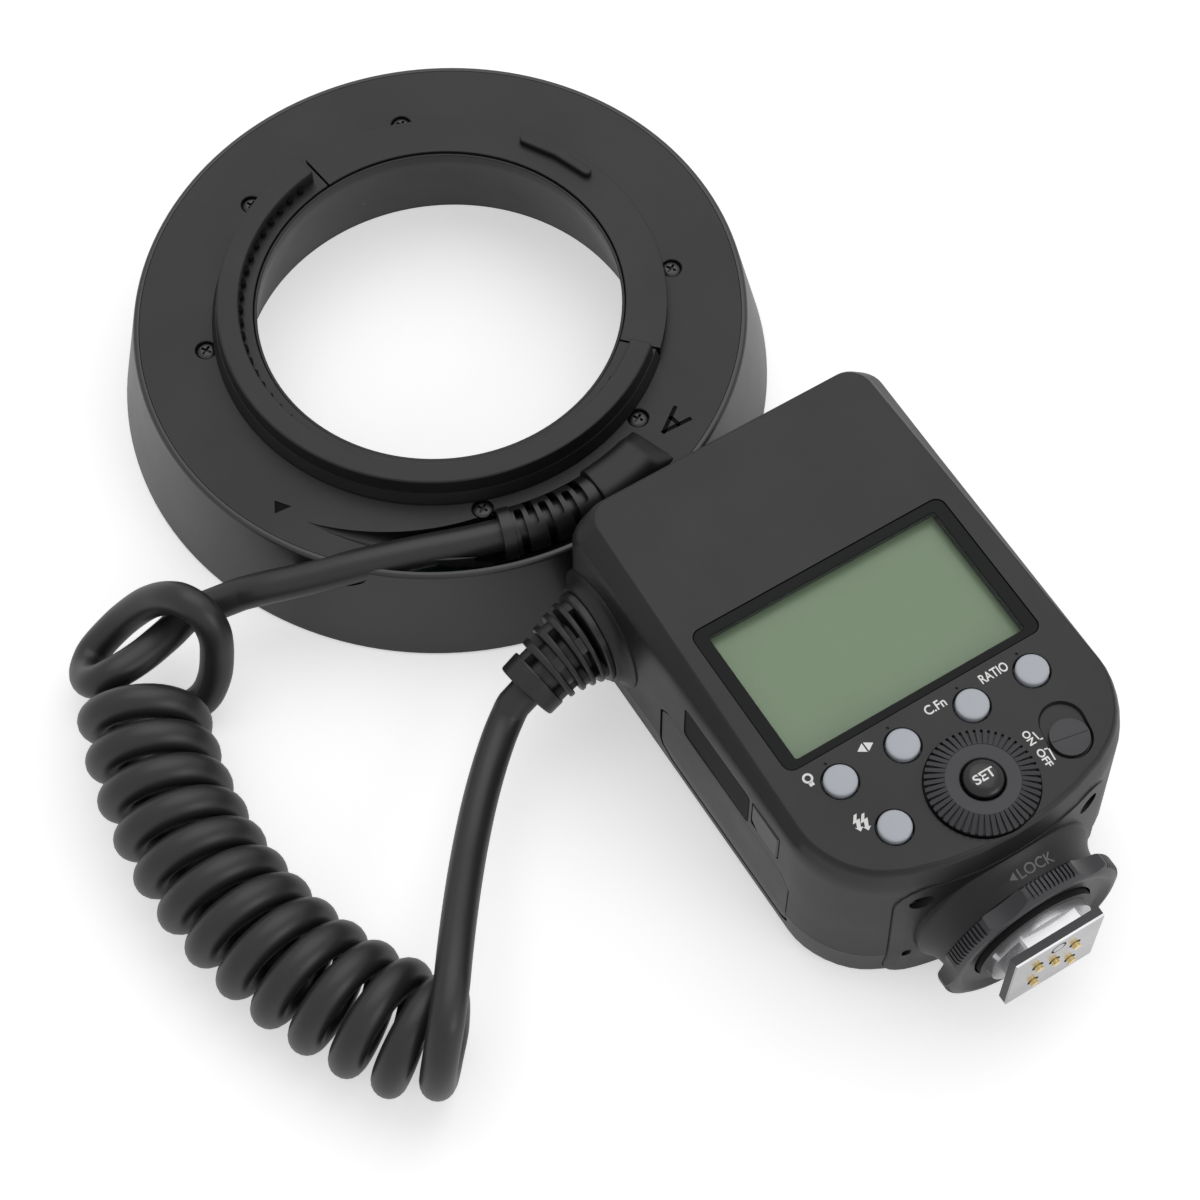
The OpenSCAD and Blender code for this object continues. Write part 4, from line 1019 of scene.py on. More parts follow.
@dataclass
class RingHead:
    """The round head that fits the lens: walls, rear cover, collar, clip and cable outlet.

    Attributes:
        radius: at the front edge.
        height: from the front edge to the rear face.
        lean: how far the outer wall leans in.
        bore: radius of the lens opening.
        cover_r: of the rear cover.
        outlet_r: radius on which the cable comes out.
        outlet_z: height of the cable there.
        boot_from: where the strain relief starts, in degrees.
        boot_to: where it ends and the cable's cover starts.
        fairing_to: where that cover ends.
        screw_at: radius on which the screws stand.
        screw_angles: where they stand, in degrees.
        clip_mid: middle of the clip, in degrees.
        ledge_r: inner radius of the ledge on collar and clip.
        ledge_z: height of that ledge.
        steps: sections of a full turn.
    """

    radius: float = 66.0
    height: float = 22.5
    lean: float = 5.3
    bore: float = 42.0
    cover_r: float = 59.88
    outlet_r: float = OUTLET_R
    outlet_z: float = OUTLET_Z
    boot_from: float = OUTLET_TURN
    boot_to: float = -56.0
    fairing_to: float = -39.0
    screw_at: float = 47.0
    screw_angles: tuple[float, ...] = (10.0, 100.0, 145.0, 190.0, 280.0, 325.0)
    clip_mid: float = 55.5
    ledge_r: float = 36.95
    ledge_z: float = 25.2
    steps: int = 160

    def wall(self, z: float) -> float:
        """Radius of the outer wall at a height."""
        return self.radius - self.lean * z / self.height

    def groove(self) -> Shape:
        """Way of the cord across the rear face and over the edge, as a cutter."""
        way = Vector((-29.0, -59.4, 19.15)) - OUTLET
        ahead = way.normalized()
        side = Vector((0, 0, 1)).cross(ahead).normalized()
        place = Matrix((side, ahead.cross(side), ahead)).transposed().to_4x4()
        place.translation = OUTLET
        shape = Shape()
        shape.prism(disc(0, 0, 3.3), -0.5, way.length, 12)
        return shape.move(place)

    def front_shell(self) -> None:
        """Outer wall with the lip round the front glass."""
        shape = Shape()
        top, low = self.height, self.height - 2.5
        shape.lathe([
            (62.2, 0.0, 0.15), (self.radius, 0.0, 0.8), (self.wall(top) + 0.35, top, 0.7), (59.98, top),
            (59.98, low), (self.wall(low) - 2.0, low), (self.wall(4.0) - 2.0, 4.0), (63.1, 4.0), (63.1, 1.2),
            (62.2, 1.2),
        ], steps=self.steps, segments=4)
        shape.cut(self.groove())
        shape.piece("ring_outer_wall", WALL, stands_for=("ring_front_shell",))

    def rear_cover(self) -> None:
        """Rear cover with the sunk way of the cable, screw wells and the engraved marks."""
        top = self.height
        shape = Shape()
        shape.lathe([(37.2, 21.4), (43.8, 21.4), (43.8, 20.0), (self.cover_r, 20.0), (self.cover_r, top, 0.05),
                     (37.2, top)], steps=self.steps)
        wall = Shape()
        wall.lathe([(47.0, 22.3), (47.0, 15.4, 5.4), (59.0, 15.4, 5.4), (59.0, 22.3)],
                   self.boot_from - 2.0, 24.6, 24)
        shape.add(wall)
        under = self._scoop(0.9)
        lid = Shape()
        edge, under_top = self.cover_r - 0.1, top - 0.15
        lid.lathe([(40.0, 8.0), (edge, 8.0), (edge, under_top), (40.0, under_top)], steps=96)
        under.keep(lid)
        shape.add(under)
        shape.cut(self._scoop(0.0))
        shape.cut(self._cover_cuts())
        shape.cut(self.groove())
        shape.piece("ring_rear_plate", SHELL, stands_for=("ring_rear_cover",), sharp=40.0)

    def _cover_cuts(self) -> Shape:
        """Everything that is sunk into the rear cover, as one cutter."""
        top = self.height
        cuts = Shape()
        cuts.lathe([(48.0, 27.0), (48.0, 16.5, 4.98), (58.0, 16.5, 4.98), (58.0, 27.0)], self.boot_from - 0.6,
                   self.boot_to - self.boot_from + 0.6, 20, 8)
        cuts.lathe([(57.4, 18.2), (60.2, 18.2), (60.2, 27.0), (57.4, 27.0)], self.boot_from - 25.0,
                   self.boot_to - self.boot_from + 25.0, 48)
        for a in self.screw_angles:
            well = cuts.well(2.1, 2.28, 21.2, top, 24.0, 0.15, 32)
            cuts.move(turn(a) @ shift(self.screw_at, 0, 0), well)
        self._marks(cuts, top - 0.3, top + 1.0, 0.0)
        return cuts

    def _scoop(self, grow: float) -> Shape:
        """Trough that widens towards the boot.

        Args:
            grow: how much wider it is all round.

        Returns:
            The trough as a solid.
        """
        shape = Shape()
        start = -117.5
        span = self.boot_from - start
        for v in shape.lathe(disc(self.outlet_r, 0.0, 1.0), start, span + 0.5, 56, 8):
            share = max(0.02, (math.degrees(math.atan2(v.co.y, v.co.x)) - start) / span)
            wide = 5.0 * share + grow
            flat = v.co.xy.normalized() * (54.4 - 1.4 * share + (v.co.xy.length - self.outlet_r) * wide)
            v.co = (flat.x, flat.y, self.height - share + v.co.z * wide)
        return shape

    def _marks(self, shape: Shape, low: float, high: float, out: float) -> None:
        """Adds the pointer and the letter of the rear cover.

        Args:
            shape: where they are added.
            low: height of their underside.
            high: height of their top.
            out: how much narrower they are.
        """
        shape.prism([(-31.7, -43.2 - out), (-31.6, -46.1 + out), (-28.4 - out, -44.6)], low, high)
        half = 0.42 - out
        for start, end in (((43.4, -30.3), (45.84, -24.7)), ((43.4, -30.3), (48.72, -27.5)),
                           ((44.9, -27.1), (46.4, -28.8))):
            way = Vector(end) - Vector(start)
            made = shape.prism(slab(-half, way.length + half * 0.4, -half, half, 0.12), low, high, 2)
            shape.move(shift(*start, 0) @ turn(math.degrees(math.atan2(way.y, way.x))), made)

    def marks(self) -> None:
        """Painted shade in the engraved marks: a near-black layer that forms their floor."""
        shape = Shape()
        self._marks(shape, self.height - 0.5, self.height - 0.22, 0.01)
        shape.piece("engraved_marks_painted_shade", RECESS_SHADE, even=False)

    def sleeve(self) -> None:
        """Tube that lines the lens opening and narrows to a fine double lip at the rear."""
        shape = Shape()
        shape.lathe([(self.bore, 0.0, 0.2), (43.6, 0.0, 0.2), (43.6, 21.3), (36.85, 21.3), (36.85, 24.7, 0.2),
                     (36.2, 24.7, 0.2), (36.35, 22.3, 0.8), (41.9, 0.9)], steps=self.steps)
        shape.piece("lens_opening_sleeve", SHELL, stands_for=("bore_sleeve",))

    def collar(self) -> None:
        """Fixed part of the collar: ledge, rim and the row of teeth at its foot, the teeth near-black as
        painted shade.
        """
        r, z = self.ledge_r, self.ledge_z
        ledge = Shape()
        ledge.lathe([(r, self.height), (45.4, self.height), (45.35, 22.95, 0.18), (44.4, z), (r, z, 0.2)],
                    128.0, 215.0, 110)
        rim = Shape()
        rim.lathe([(39.5, 23.6), (44.6, 23.0), (43.8, 28.5, 0.4), (39.5, 28.5, 0.35)], 130.0, 212.0, 110, 3)
        rim.soften(0.5, 3, 60.0, clamp=False)
        ledge.add(rim)
        ledge.piece("adapter_collar_toothed", SHELL, stands_for=("adapter_collar",), sharp=40.0)
        # The teeth are half-rods on the rim's foot in a near-black finish: painted shade for the shaded notches
        # there.
        teeth = Shape()
        tooth = teeth.rod(Vector((39.5, 0, 25.1)), Vector((39.5, 0, 26.5)), 0.75, 16)
        teeth.repeat(tooth, 43, 193.2)
        teeth.move(turn(135.6))
        teeth.piece("collar_teeth_painted_shade", RECESS_SHADE)

    def clip(self) -> None:
        """Sprung clip that closes the collar, with its finger rib."""
        r, z = self.ledge_r, self.ledge_z
        shape = Shape()
        shape.lathe([(r, 22.8), (45.2, 22.8), (45.2, z, 0.25), (r, z, 0.2)], self.clip_mid - 71.8, 143.6, 84)
        half, wide, mid = math.radians(10.3), 1.0, 42.45
        spots = []
        for side in (1, -1):
            edge = Vector((mid + side * wide, 0.0))
            spots += [Matrix.Rotation(angle, 2) @ edge for angle in (-side * half, 0.0, side * half)]
            tip = Matrix.Rotation(side * half, 2)
            for k in range(1, 8):
                bend = k * math.pi / 8
                spots.append(tip @ Vector((mid + wide * math.cos(bend) * side, wide * math.sin(bend) * side)))
        rib = Shape()
        rib.prism([tuple(spot) for spot in spots], 25.0, 26.6)
        rib.soften(0.45, 3, 60.0)
        shape.join(rib, turn(self.clip_mid))
        shape.piece("lens_clip_arc", SHELL, Body.CLIP, ("lens_clip",))

    def screws(self) -> None:
        """Six cross-head screws."""
        copies = Shape()
        for a in self.screw_angles:
            copies.join(cross_screw(1.88, 21.2, 22.34, 5.6),
                        turn(a) @ shift(self.screw_at, 0, 0) @ turn(20.0 + 3.0 * a))
        copies.piece("rear_plate_screws", SCREW, stands_for=("ring_screws",))

    def fairing(self) -> None:
        """Half-round cover over the cable where it goes into the head."""
        shape = Shape()
        made = shape.lathe([(47.9, 22.3), (58.1, 22.3), (57.6, 26.8, 3.0), (48.4, 26.8, 3.0)], self.boot_to,
                           self.fairing_to - self.boot_to, 24, 6)
        flat = 0.72
        for v in made:
            share = (math.degrees(math.atan2(v.co.y, v.co.x)) - self.boot_to) / (self.fairing_to - self.boot_to)
            if v.co.z > 22.6 and share > flat:
                v.co.z -= (v.co.z - self.height) * ((share - flat) / (1.0 - flat)) * 0.8
        shape.soften(0.25, 2, 50.0)
        shape.piece("cable_cover", SHELL, stands_for=("cable_fairing",))

    def boot(self) -> bpy.types.Object:
        """Curved strain relief with staggered slots; returns it."""
        r, z = self.outlet_r, self.outlet_z
        sweep = self.boot_to - self.boot_from - 0.1
        shape = Shape()
        shape.lathe(disc(r, z, 4.75), self.boot_from, sweep, 48, 8)
        shape.soften(0.35, 2, 60.0)
        ring = Shape()
        ring.lathe(disc(r, z, 5.1), self.boot_from - 0.4, 2.6, 8, 8)
        ring.soften(0.4, 2, 60.0)
        shape.add(ring)
        slots = Shape()
        for i in range(6):
            inner, outer = (-2.2, 8.0) if i % 2 == 0 else (-8.0, 2.2)
            made = slots.prism(slab(r + inner, r + outer, -0.8, 0.8, 0.78), z - 7.0, z + 7.0, 5)
            slots.move(turn(self.boot_from + 3.8 + i * 2.75), made)
        shape.cut(slots)
        core = Shape()
        core.lathe(disc(r, z, 3.1), self.boot_from + 0.05, sweep - 0.4, 30, 6)
        shape.add(core)
        return shape.piece("ring_strain_relief", BOOT, stands_for=("ring_boot",), sharp=40.0)

    def inside(self) -> None:
        """Finishes of the pieces behind the front glass."""
        dress(CLEAR, "diffuser")
        dress(MIRROR, "reflector")
        dress(GLASS, "flash_tube_a", "flash_tube_b")
        dress(LAMP, "focus_lamps")
        dress(BOARD, "ring_board")
        dress(COPPER, "trigger_coil")
        dress(STEEL, "clip_springs")

    def build(self) -> bpy.types.Object:
        """Makes the whole head; returns its strain relief."""
        self.front_shell()
        self.rear_cover()
        self.sleeve()
        self.collar()
        self.clip()
        self.screws()
        self.marks()
        self.fairing()
        self.inside()
        return self.boot()


def cross_screw(radius: float, low: float, high: float, shank: float) -> Shape:
    """Screw with a cross recess, standing on Z.

    Args:
        radius: of the head.
        low: height of the head's underside.
        high: height of its top.
        shank: length below the head.

    Returns:
        The shape.
    """
    shape = Shape()
    core = radius * 0.58
    end = low - shank
    shape.lathe([(0, end), (core * 0.7, end), (core, end + 0.5), (core, low), (radius, low),
                 (radius, high - 0.3, 0.12), (radius * 0.62, high, 0.2), (0, high)], steps=32)
    cross = Shape()
    arm, half = radius * 0.58, radius * 0.15
    cross.block((-arm, -half, high - 0.7), (arm, half, high + 1.0))
    cross.block((-half, -arm, high - 0.7), (half, arm, high + 1.0))
    return shape.cut(cross)


# How deep print sits in the face and stands out of it; top of the set key and radius of its dome
INK_SINK, INK_RISE = 0.02, 0.03
SET_TOP, SET_DOME = 48.5, 12.0


@dataclass(frozen=True)
class Level:
    """One level of the controller's outside: height and how far each side stands in."""

    z: float
    top_side: float
    foot_side: float
    top: float
    foot: float


@dataclass
class Controller:
    """The controller: shells, display, keys, dial, switch, battery, cable boot and foot.

    Attributes:
        half: half of its width.
        top: distance from the dial to the top end.
        foot: the same to the foot end.
        bow: radius of the foot end in plan.
        face: height of the face above the back.
        part: height of the joint between the shells.
        wall: thickness of the shells.
        keys: name, body and place of each grey key.
        window: middle, width and length of the display's window.
        switch_at: middle of the power switch and how it is turned.
        axis_z: height of the lock wheel's axis.
        boot_long: length of the strain relief.
    """

    half: float = 34.0
    top: float = 84.0
    foot: float = -12.6
    bow: float = 62.0
    face: float = 45.0
    part: float = 12.5
    wall: float = 2.2
    keys: tuple[tuple[str, Body, float, float], ...] = (
        ("lamp", Body.LAMP, -20.4, 13.2), ("arrow", Body.ARROW, -7.4, 13.2),
        ("function", Body.FUNCTION, 7.2, 13.2), ("ratio", Body.RATIO, 20.0, 13.2),
        ("test", Body.TEST, -17.3, 1.2),
    )
    window: tuple[float, float, float, float] = (-0.3, 35.1, 54.0, 32.2)
    switch_at: tuple[float, float, float] = (18.3, 0.75, -11.0)
    axis_z: float = 20.0
    boot_long: float = 16.0

    def at(self, base: Vector, level: Level, inset: float = 0.0) -> Vector:
        """Point of the plan outline at a level.

        Args:
            base: the point of the full outline.
            level: the level.
            inset: wall thickness to stand in by.

        Returns:
            The point.
        """
        share = (base.y - self.foot) / (self.top - self.foot)
        side = level.foot_side + (level.top_side - level.foot_side) * share + inset
        y0, y1 = self.foot + level.foot + inset, self.top - level.top - inset
        return Vector((base.x * (self.half - side) / self.half, y0 + (y1 - y0) * share, level.z))

    def skin(self, levels: Sequence[tuple[Level, float]]) -> Shape:
        """Closed skin through some levels of the body's outline.

        Args:
            levels: each level with the wall thickness to stand in by, from one end to the other.

        Returns:
            The shape.
        """
        shape = Shape()
        bm = shape.bm
        layers = bm.verts.layers.float_vector
        base = layers.new("base")
        mid = self.foot + self.bow
        corner = mid - math.sqrt(self.bow ** 2 - self.half ** 2)
        bowed = [(x, mid - math.sqrt(self.bow ** 2 - x * x))
                 for x in (21.4, 14.2, 7.1, 0.0, -7.1, -14.2, -21.4)]
        face = shape.outline([(self.half, self.top, 5.0), (self.half, corner, 10.2), *bowed,
                              (-self.half, corner, 10.2), (-self.half, self.top, 5.0)], 8)
        verts, first = list(face.verts), list(face.edges)
        bmesh.ops.delete(bm, geom=[face], context="FACES_ONLY")
        for v in verts:
            v[base] = v.co
            v.co = self.at(Vector(v[base]), *levels[0])
        last = first
        for level in levels[1:]:
            made = bmesh.ops.extrude_edge_only(bm, edges=last)["geom"]
            last = [g for g in made if isinstance(g, bmesh.types.BMEdge)]
            for v in (g for g in made if isinstance(g, bmesh.types.BMVert)):
                v.co = self.at(Vector(v[base]), *level)
        for edges in (first, last):
            bmesh.ops.edgeloop_fill(bm, edges=edges)
        bmesh.ops.recalc_face_normals(bm, faces=bm.faces)
        layers.remove(base)
        return shape

    def shell(self, outer: Sequence[Level], inner: Sequence[Level], rounds: dict[float, float]) -> Shape:
        """Hollow half of the body, open where the halves meet.

        Args:
            outer: levels of the outside, from the joint.
            inner: levels of the inside, from the joint.
            rounds: rounding of the outside at some levels.

        Returns:
            The shape.
        """
        down = [(level, 0.0) for level in reversed(outer)]
        up = [(level, self.wall) for level in inner]
        shape = self.skin(down + up)
        for z, width in rounds.items():
            edges = [e for e in shape.bm.edges if all(abs(v.co.z - z) < 1e-3 for v in e.verts)
                     and e.calc_face_angle(0.0) > math.radians(3.0)]
            shape.bevel(edges, width, 3)
        return shape

    def battery_outline(self, out: float) -> list[Corner]:
        """Battery seen from the left, in (along, height), larger by a gap."""
        y0, y1, z0, z1, c = 8.2 - out, 49.8 + out, 6.6 - out, 25.8 + out, 3.0
        return [(y0, z0 + c * 0.6, 0.6), (y0 + c * 0.6, z0, 0.6), (y1 - c, z0, 0.6), (y1, z0 + c, 0.6),
                (y1, z1 - c * 0.7, 0.6), (y1 - c * 0.7, z1, 0.6), (y0 + c, z1, 0.6), (y0, z1 - c, 0.6)]

    def top_shell(self) -> None:
        """Upper shell with its openings and the cable boss."""
        f = self.face
        outer = [Level(self.part, 0, 0.8, 0, 0), Level(38.5, 0.2, 1.0, 0, 1.0), Level(41.0, 0.6, 1.2, 0.4, 1.4),
                 Level(44.1, 3.6, 1.7, 0.8, 2.0), Level(f, 4.3, 2.2, 1.4, 2.6)]
        inner = [Level(self.part, 0, 0.8, 0, 0), Level(38.5, 0.2, 1.0, 0, 1.0), Level(42.6, 3.0, 2.0, 1.0, 1.8)]
        shape = self.shell(outer, inner, {41.0: 0.9, 44.1: 0.45, f: 0.35, self.part: 0.14})
        boss = Shape()
        boss.lathe([(0, -2.0), (12.6, -2.0), (12.4, 0.1), (11.0, 0.7, 0.8), (10.3, 1.6, 0.6), (10.0, 2.5, 0.3),
                    (0, 2.5)], steps=64, segments=4)
        boss.move(shift(-self.half + 0.1, BOOT_FOOT.y, BOOT_FOOT.z) @ TO_LEFT)
        shape.add(boss)
        shape.cut(self._face_cuts())
        shape.cut(self._wall_cuts())
        shape.piece("controller_upper_shell", SHELL, stands_for=("top_shell",), place=ON_BODY, sharp=38.0)

    def _face_cuts(self) -> Shape:
        """Openings in the face, as one cutter."""
        f = self.face
        cuts = Shape()
        below, above = 41.0, 50.0
        cuts.prism(self.pane_outline(0.0, 0.0, 0.0, 2.0), 43.2, above)
        cuts.prism(self.pane_outline(1.5, 0.8, 0.8, 1.4), below, 44.0)
        for _, _, kx, ky in self.keys:
            cuts.move(shift(kx, ky, 0), cuts.well(3.32, 3.5, below, f, above, 0.2, 48))
            if ky > 5.0:
                cuts.move(shift(kx - 0.4, ky + 4.1, 0), cuts.plug(0.3, f - 0.3, above, 16))
        cuts.well(10.15, 10.35, 43.7, f, above, 0.2, 96)
        cuts.plug(6.5, below, 44.0, 48)
        sx, sy, lean = self.switch_at
        mouth = cuts.prism(slab(-4.45, 4.45, -5.95, 5.95, 4.44), f - 0.7, f + 0.5, 12)
        for v in mouth:
            if v.co.z < f:
                v.co.x, v.co.y = v.co.x * 0.87, v.co.y * 0.9
        cuts.move(shift(sx, sy, 0) @ turn(lean), mouth)
        return cuts

    def _wall_cuts(self) -> Shape:
        """Openings in the walls, as one cutter."""
        cuts = Shape()
        cuts.move(TO_SIDE, cuts.prism(self.battery_outline(0.28), -45.0, -24.0))
        cuts.move(TO_SIDE, cuts.prism(slab(11.95, 20.65, 28.95, 37.65, 0.8), -45.0, -29.0))
        cuts.move(TO_SIDE, cuts.prism(slab(21.4, 42.4, 26.9, 37.4, 1.2), -45.0, -33.2))
        plate = cuts.prism(slab(-22.42, 22.42, 1.1 - self.axis_z, 38.9 - self.axis_z, 6.1), 4.5, 26.0)
        cuts.move(shift(0, 0, self.axis_z) @ TO_FOOT, plate)
        return cuts

    def back_shell(self) -> None:
        """Back shell, which the controller lies on."""
        outer = [Level(self.part, 0, 0.8, 0, 0), Level(3.0, 1.2, 1.8, 2.4, 0.8), Level(0.0, 2.6, 3.0, 4.5, 2.0)]
        inner = [Level(self.part, 0, 0.8, 0, 0), Level(2.2, 1.4, 2.0, 3.0, 1.0)]
        shape = self.shell(outer, inner, {3.0: 0.8, 0.0: 0.5, self.part: 0.14})
        wells = Shape()
        for x, y in self.posts():
            wells.move(shift(x, y, 0), wells.plug(2.2, -1, 1.8))
        shape.cut(wells)
        shape.cut(self._wall_cuts())
        shape.piece("controller_back_shell", SHELL, stands_for=("back_shell",), place=ON_BODY, sharp=38.0)

    def posts(self) -> list[tuple[float, float]]:
        """Places of the four screws in the back."""
        return [(self.half - 7.5, self.top - 10), (7.5 - self.half, self.top - 10), (self.half - 8, 52.0),
                (7.5 - self.half, 55.5)]

    def pane_outline(self, side: float, foot: float, top: float, r: float) -> list[Corner]:
        """Window of the display, smaller by some margins.

        Args:
            side: margin on the left and right.
            foot: margin towards the foot.
            top: margin towards the top end.
            r: radius of its corners.

        Returns:
            The corners.
        """
        x, y, w, l = self.window
        return slab(x - w / 2 + side, x + w / 2 - side, y - l / 2 + foot, y + l / 2 - top, r)

    def display(self) -> None:
        """Glossy frame, clear pane and the display below them."""
        shape = Shape()
        shape.prism(self.pane_outline(0.12, 0.12, 0.12, 1.9), 43.2, 44.9)
        hole = Shape()
        hole.prism(self.pane_outline(2.8, 1.8, 2.3, 0.5), 42.0, 46.0, 3)
        shape.cut(hole)
        shape.soften(0.22, 2, 50.0)
        shape.piece("display_frame", FRAME, stands_for=("lcd_window",), place=ON_BODY)
        pane = Shape()
        pane.prism(self.pane_outline(2.82, 1.82, 2.32, 0.48), 43.9, 44.75, 3)
        pane.piece("display_pane", PANE, place=ON_BODY)
        dress(DISPLAY, "lcd_panel")

    def key_caps(self) -> None:
        """Five round grey keys."""
        f = self.face
        for name, body, x, y in self.keys:
            shape = Shape()
            shape.lathe([(0, 41.2), (3.9, 41.2), (3.9, 42.0), (3.02, 42.0), (3.02, f + 0.75, 0.32),
                         (2.2, f + 0.9, 0.6), (0, f + 0.96)], steps=56, segments=4)
            shape.piece(f"{name}_key_cap", KEY, body, (f"{name}_button",), ON_BODY @ shift(x, y, 0))

    def dial(self) -> None:
        """Ribbed dial and the domed key in its middle."""
        shape = Shape()
        shape.lathe([(3.85, 39.9), (5.6, 39.9), (5.6, 44.0), (9.5, 44.0), (9.7, 44.3, 0.15), (9.7, 45.5, 0.25),
                     (6.75, 46.6), (6.65, 47.06, 0.06), (4.1, 46.9, 0.15), (3.85, 46.6)], steps=120)
        slope = math.atan2(1.1, 2.95)
        rib = shape.block((-2.0, -0.40, -0.3), (1.68, 0.40, 0.5))
        touching = dict.fromkeys(e for v in rib for e in v.link_edges)
        rib_edges = [e for e in touching if all(v.co.z > 0 for v in e.verts)]
        known = set(shape.bm.verts) - set(rib)
        shape.bevel(rib_edges, 0.1, 2)
        rib = [v for v in shape.bm.verts if v not in known]
        shape.move(shift(8.35, 0, 46.02) @ Matrix.Rotation(slope, 4, "Y"), rib)
        shape.repeat(rib, 48)
        shape.piece("ribbed_dial", CONTROL, Body.DIAL, ("dial",), ON_BODY, sharp=40.0)
        cap = Shape()
        cap.lathe([(0, 40.8), (1.8, 40.8), (1.8, 41.8), (3.65, 41.8), (3.65, 47.5, 0.45), (2.8, 48.1, 0.9),
                   (1.5, 48.42, 0.9), (0, SET_TOP)], steps=64, segments=5)
        cap.piece("set_key_cap", SMOOTH, Body.SET, ("set_button",), ON_BODY)

    def switch(self) -> None:
        """Sliding power switch with a ridge across its knob."""
        x, y, lean = self.switch_at
        f = self.face
        shape = Shape()
        shape.prism(disc(0, 0, 3.6), f - 0.66, f + 0.1, 12)
        bmesh.ops.bisect_plane(shape.bm, geom=[*shape.bm.verts, *shape.bm.edges, *shape.bm.faces],
                               plane_co=(0, 0, 0), plane_no=(0, 1, 0), dist=1e-4)
        rims = [e for e in shape.bm.edges if e.calc_face_angle(0.0) > 1.0 and all(v.co.z > f for v in e.verts)]
        shape.bevel(rims, 0.22, 2)
        for v in shape.bm.verts:
            if v.co.z > f:
                v.co.z += 0.4 * max(0.0, 1.0 - abs(v.co.y) / 3.9)
        shape.block((-3.35, -0.1, f), (3.35, 0.1, f + 0.62))
        shape.piece("power_switch_knob", CONTROL, Body.SWITCH, ("power_switch",),
                    ON_BODY @ shift(x, y, 0) @ turn(lean) @ shift(0, -1.5, 0), sharp=12.0)

    def battery(self) -> None:
        """Battery in the left wall, its latch and the textured finger pad."""
        levels = [Level(3.0, 1.3, 1.9, 2.4, 0.8), Level(self.part, 0.1, 0.9, 0, 0),
                  Level(38.5, 0.3, 1.1, 0, 1.0)]
        shape = self.skin([(level, 0.0) for level in levels])
        bar = Shape()
        bar.move(TO_SIDE, bar.prism(self.battery_outline(-0.1), -40.0, 16.0))
        shape.keep(bar)
        shape.soften(0.22, 2, 50.0, clamp=False)
        shape.piece("battery_block", SHELL, Body.BATTERY, ("battery_pack",), ON_BODY)
        latch = Shape()
        latch.prism([(12.2, 29.2, 0.5), (18.4, 29.2, 0.3), (20.4, 31.0, 0.3), (20.4, 37.4, 0.5),
                     (12.2, 37.4, 0.5)], -33.5, -28.0)
        latch.move(TO_SIDE)
        latch.soften(0.45, 3, 60.0)
        latch.piece("battery_latch_key", CONTROL, Body.LATCH, ("battery_latch",), ON_BODY)
        pad = Shape()
        pad.move(TO_SIDE, pad.prism(slab(21.6, 42.2, 27.0, 37.2, 1.0), -33.35, -32.6))
        pad.soften(0.12, 2, 60.0)
        pad.piece("finger_pad", PAD, place=ON_BODY)

    def boot(self) -> bpy.types.Object:
        """Ringed strain relief, bent towards the cord; returns it."""
        shape = Shape()
        end = self.boot_long
        shape.lathe([(0, 0), (9.2, 0), (9.2, 1.5, 0.4), (8.2, 1.9, 0.2), (4.9, 2.2), (4.3, end - 0.6),
                     (4.6, end, 0.3), (0, end)], steps=48)
        for i, (s, r) in enumerate(((3.0, 8.6), (5.5, 8.1), (8.0, 7.5), (10.5, 6.9), (13.1, 6.35))):
            deep = 1.15 if s < 13.0 else 2.9
            shape.lathe([(3.6, s), (r, s, 0.3), (r - 0.1, s + deep, 0.3), (3.6, s + deep)], steps=48)
            for k in range(3):
                shape.lathe([(3.6, s - 1.5), (r - 0.2, s - 1.5), (r - 0.2, s + 0.1), (3.6, s + 0.1)],
                            60.0 * (i % 2) + 120.0 * k + 20.0, 22.0, 6)
        self._bend(shape)
        return shape.piece("controller_strain_relief", BOOT, stands_for=("controller_boot",), place=ON_BODY)

    def _bend(self, shape: Shape) -> None:
        """Bends a shape that stands on Z along the boot's line."""
        end = BOOT_PIVOT + BOOT_WAY * BOOT_REACH
        straight = TO_LEFT.to_3x3()
        swing = Vector((-1, 0, 0)).rotation_difference(BOOT_WAY)
        for v in shape.bm.verts:
            t = min(1.0, max(0.0, v.co.z / self.boot_long))
            line = BOOT_FOOT * (1 - t) ** 2 + BOOT_PIVOT * (2 * t * (1 - t)) + end * t * t
            part = Quaternion().slerp(swing, t)
            v.co = line + part @ (straight @ Vector((v.co.x, v.co.y, 0.0)))

    def on_foot(self, at: float) -> Matrix:
        """Place on the lock wheel's axis, away from the controller."""
        return ON_BODY @ shift(0, -at, self.axis_z) @ TO_FOOT

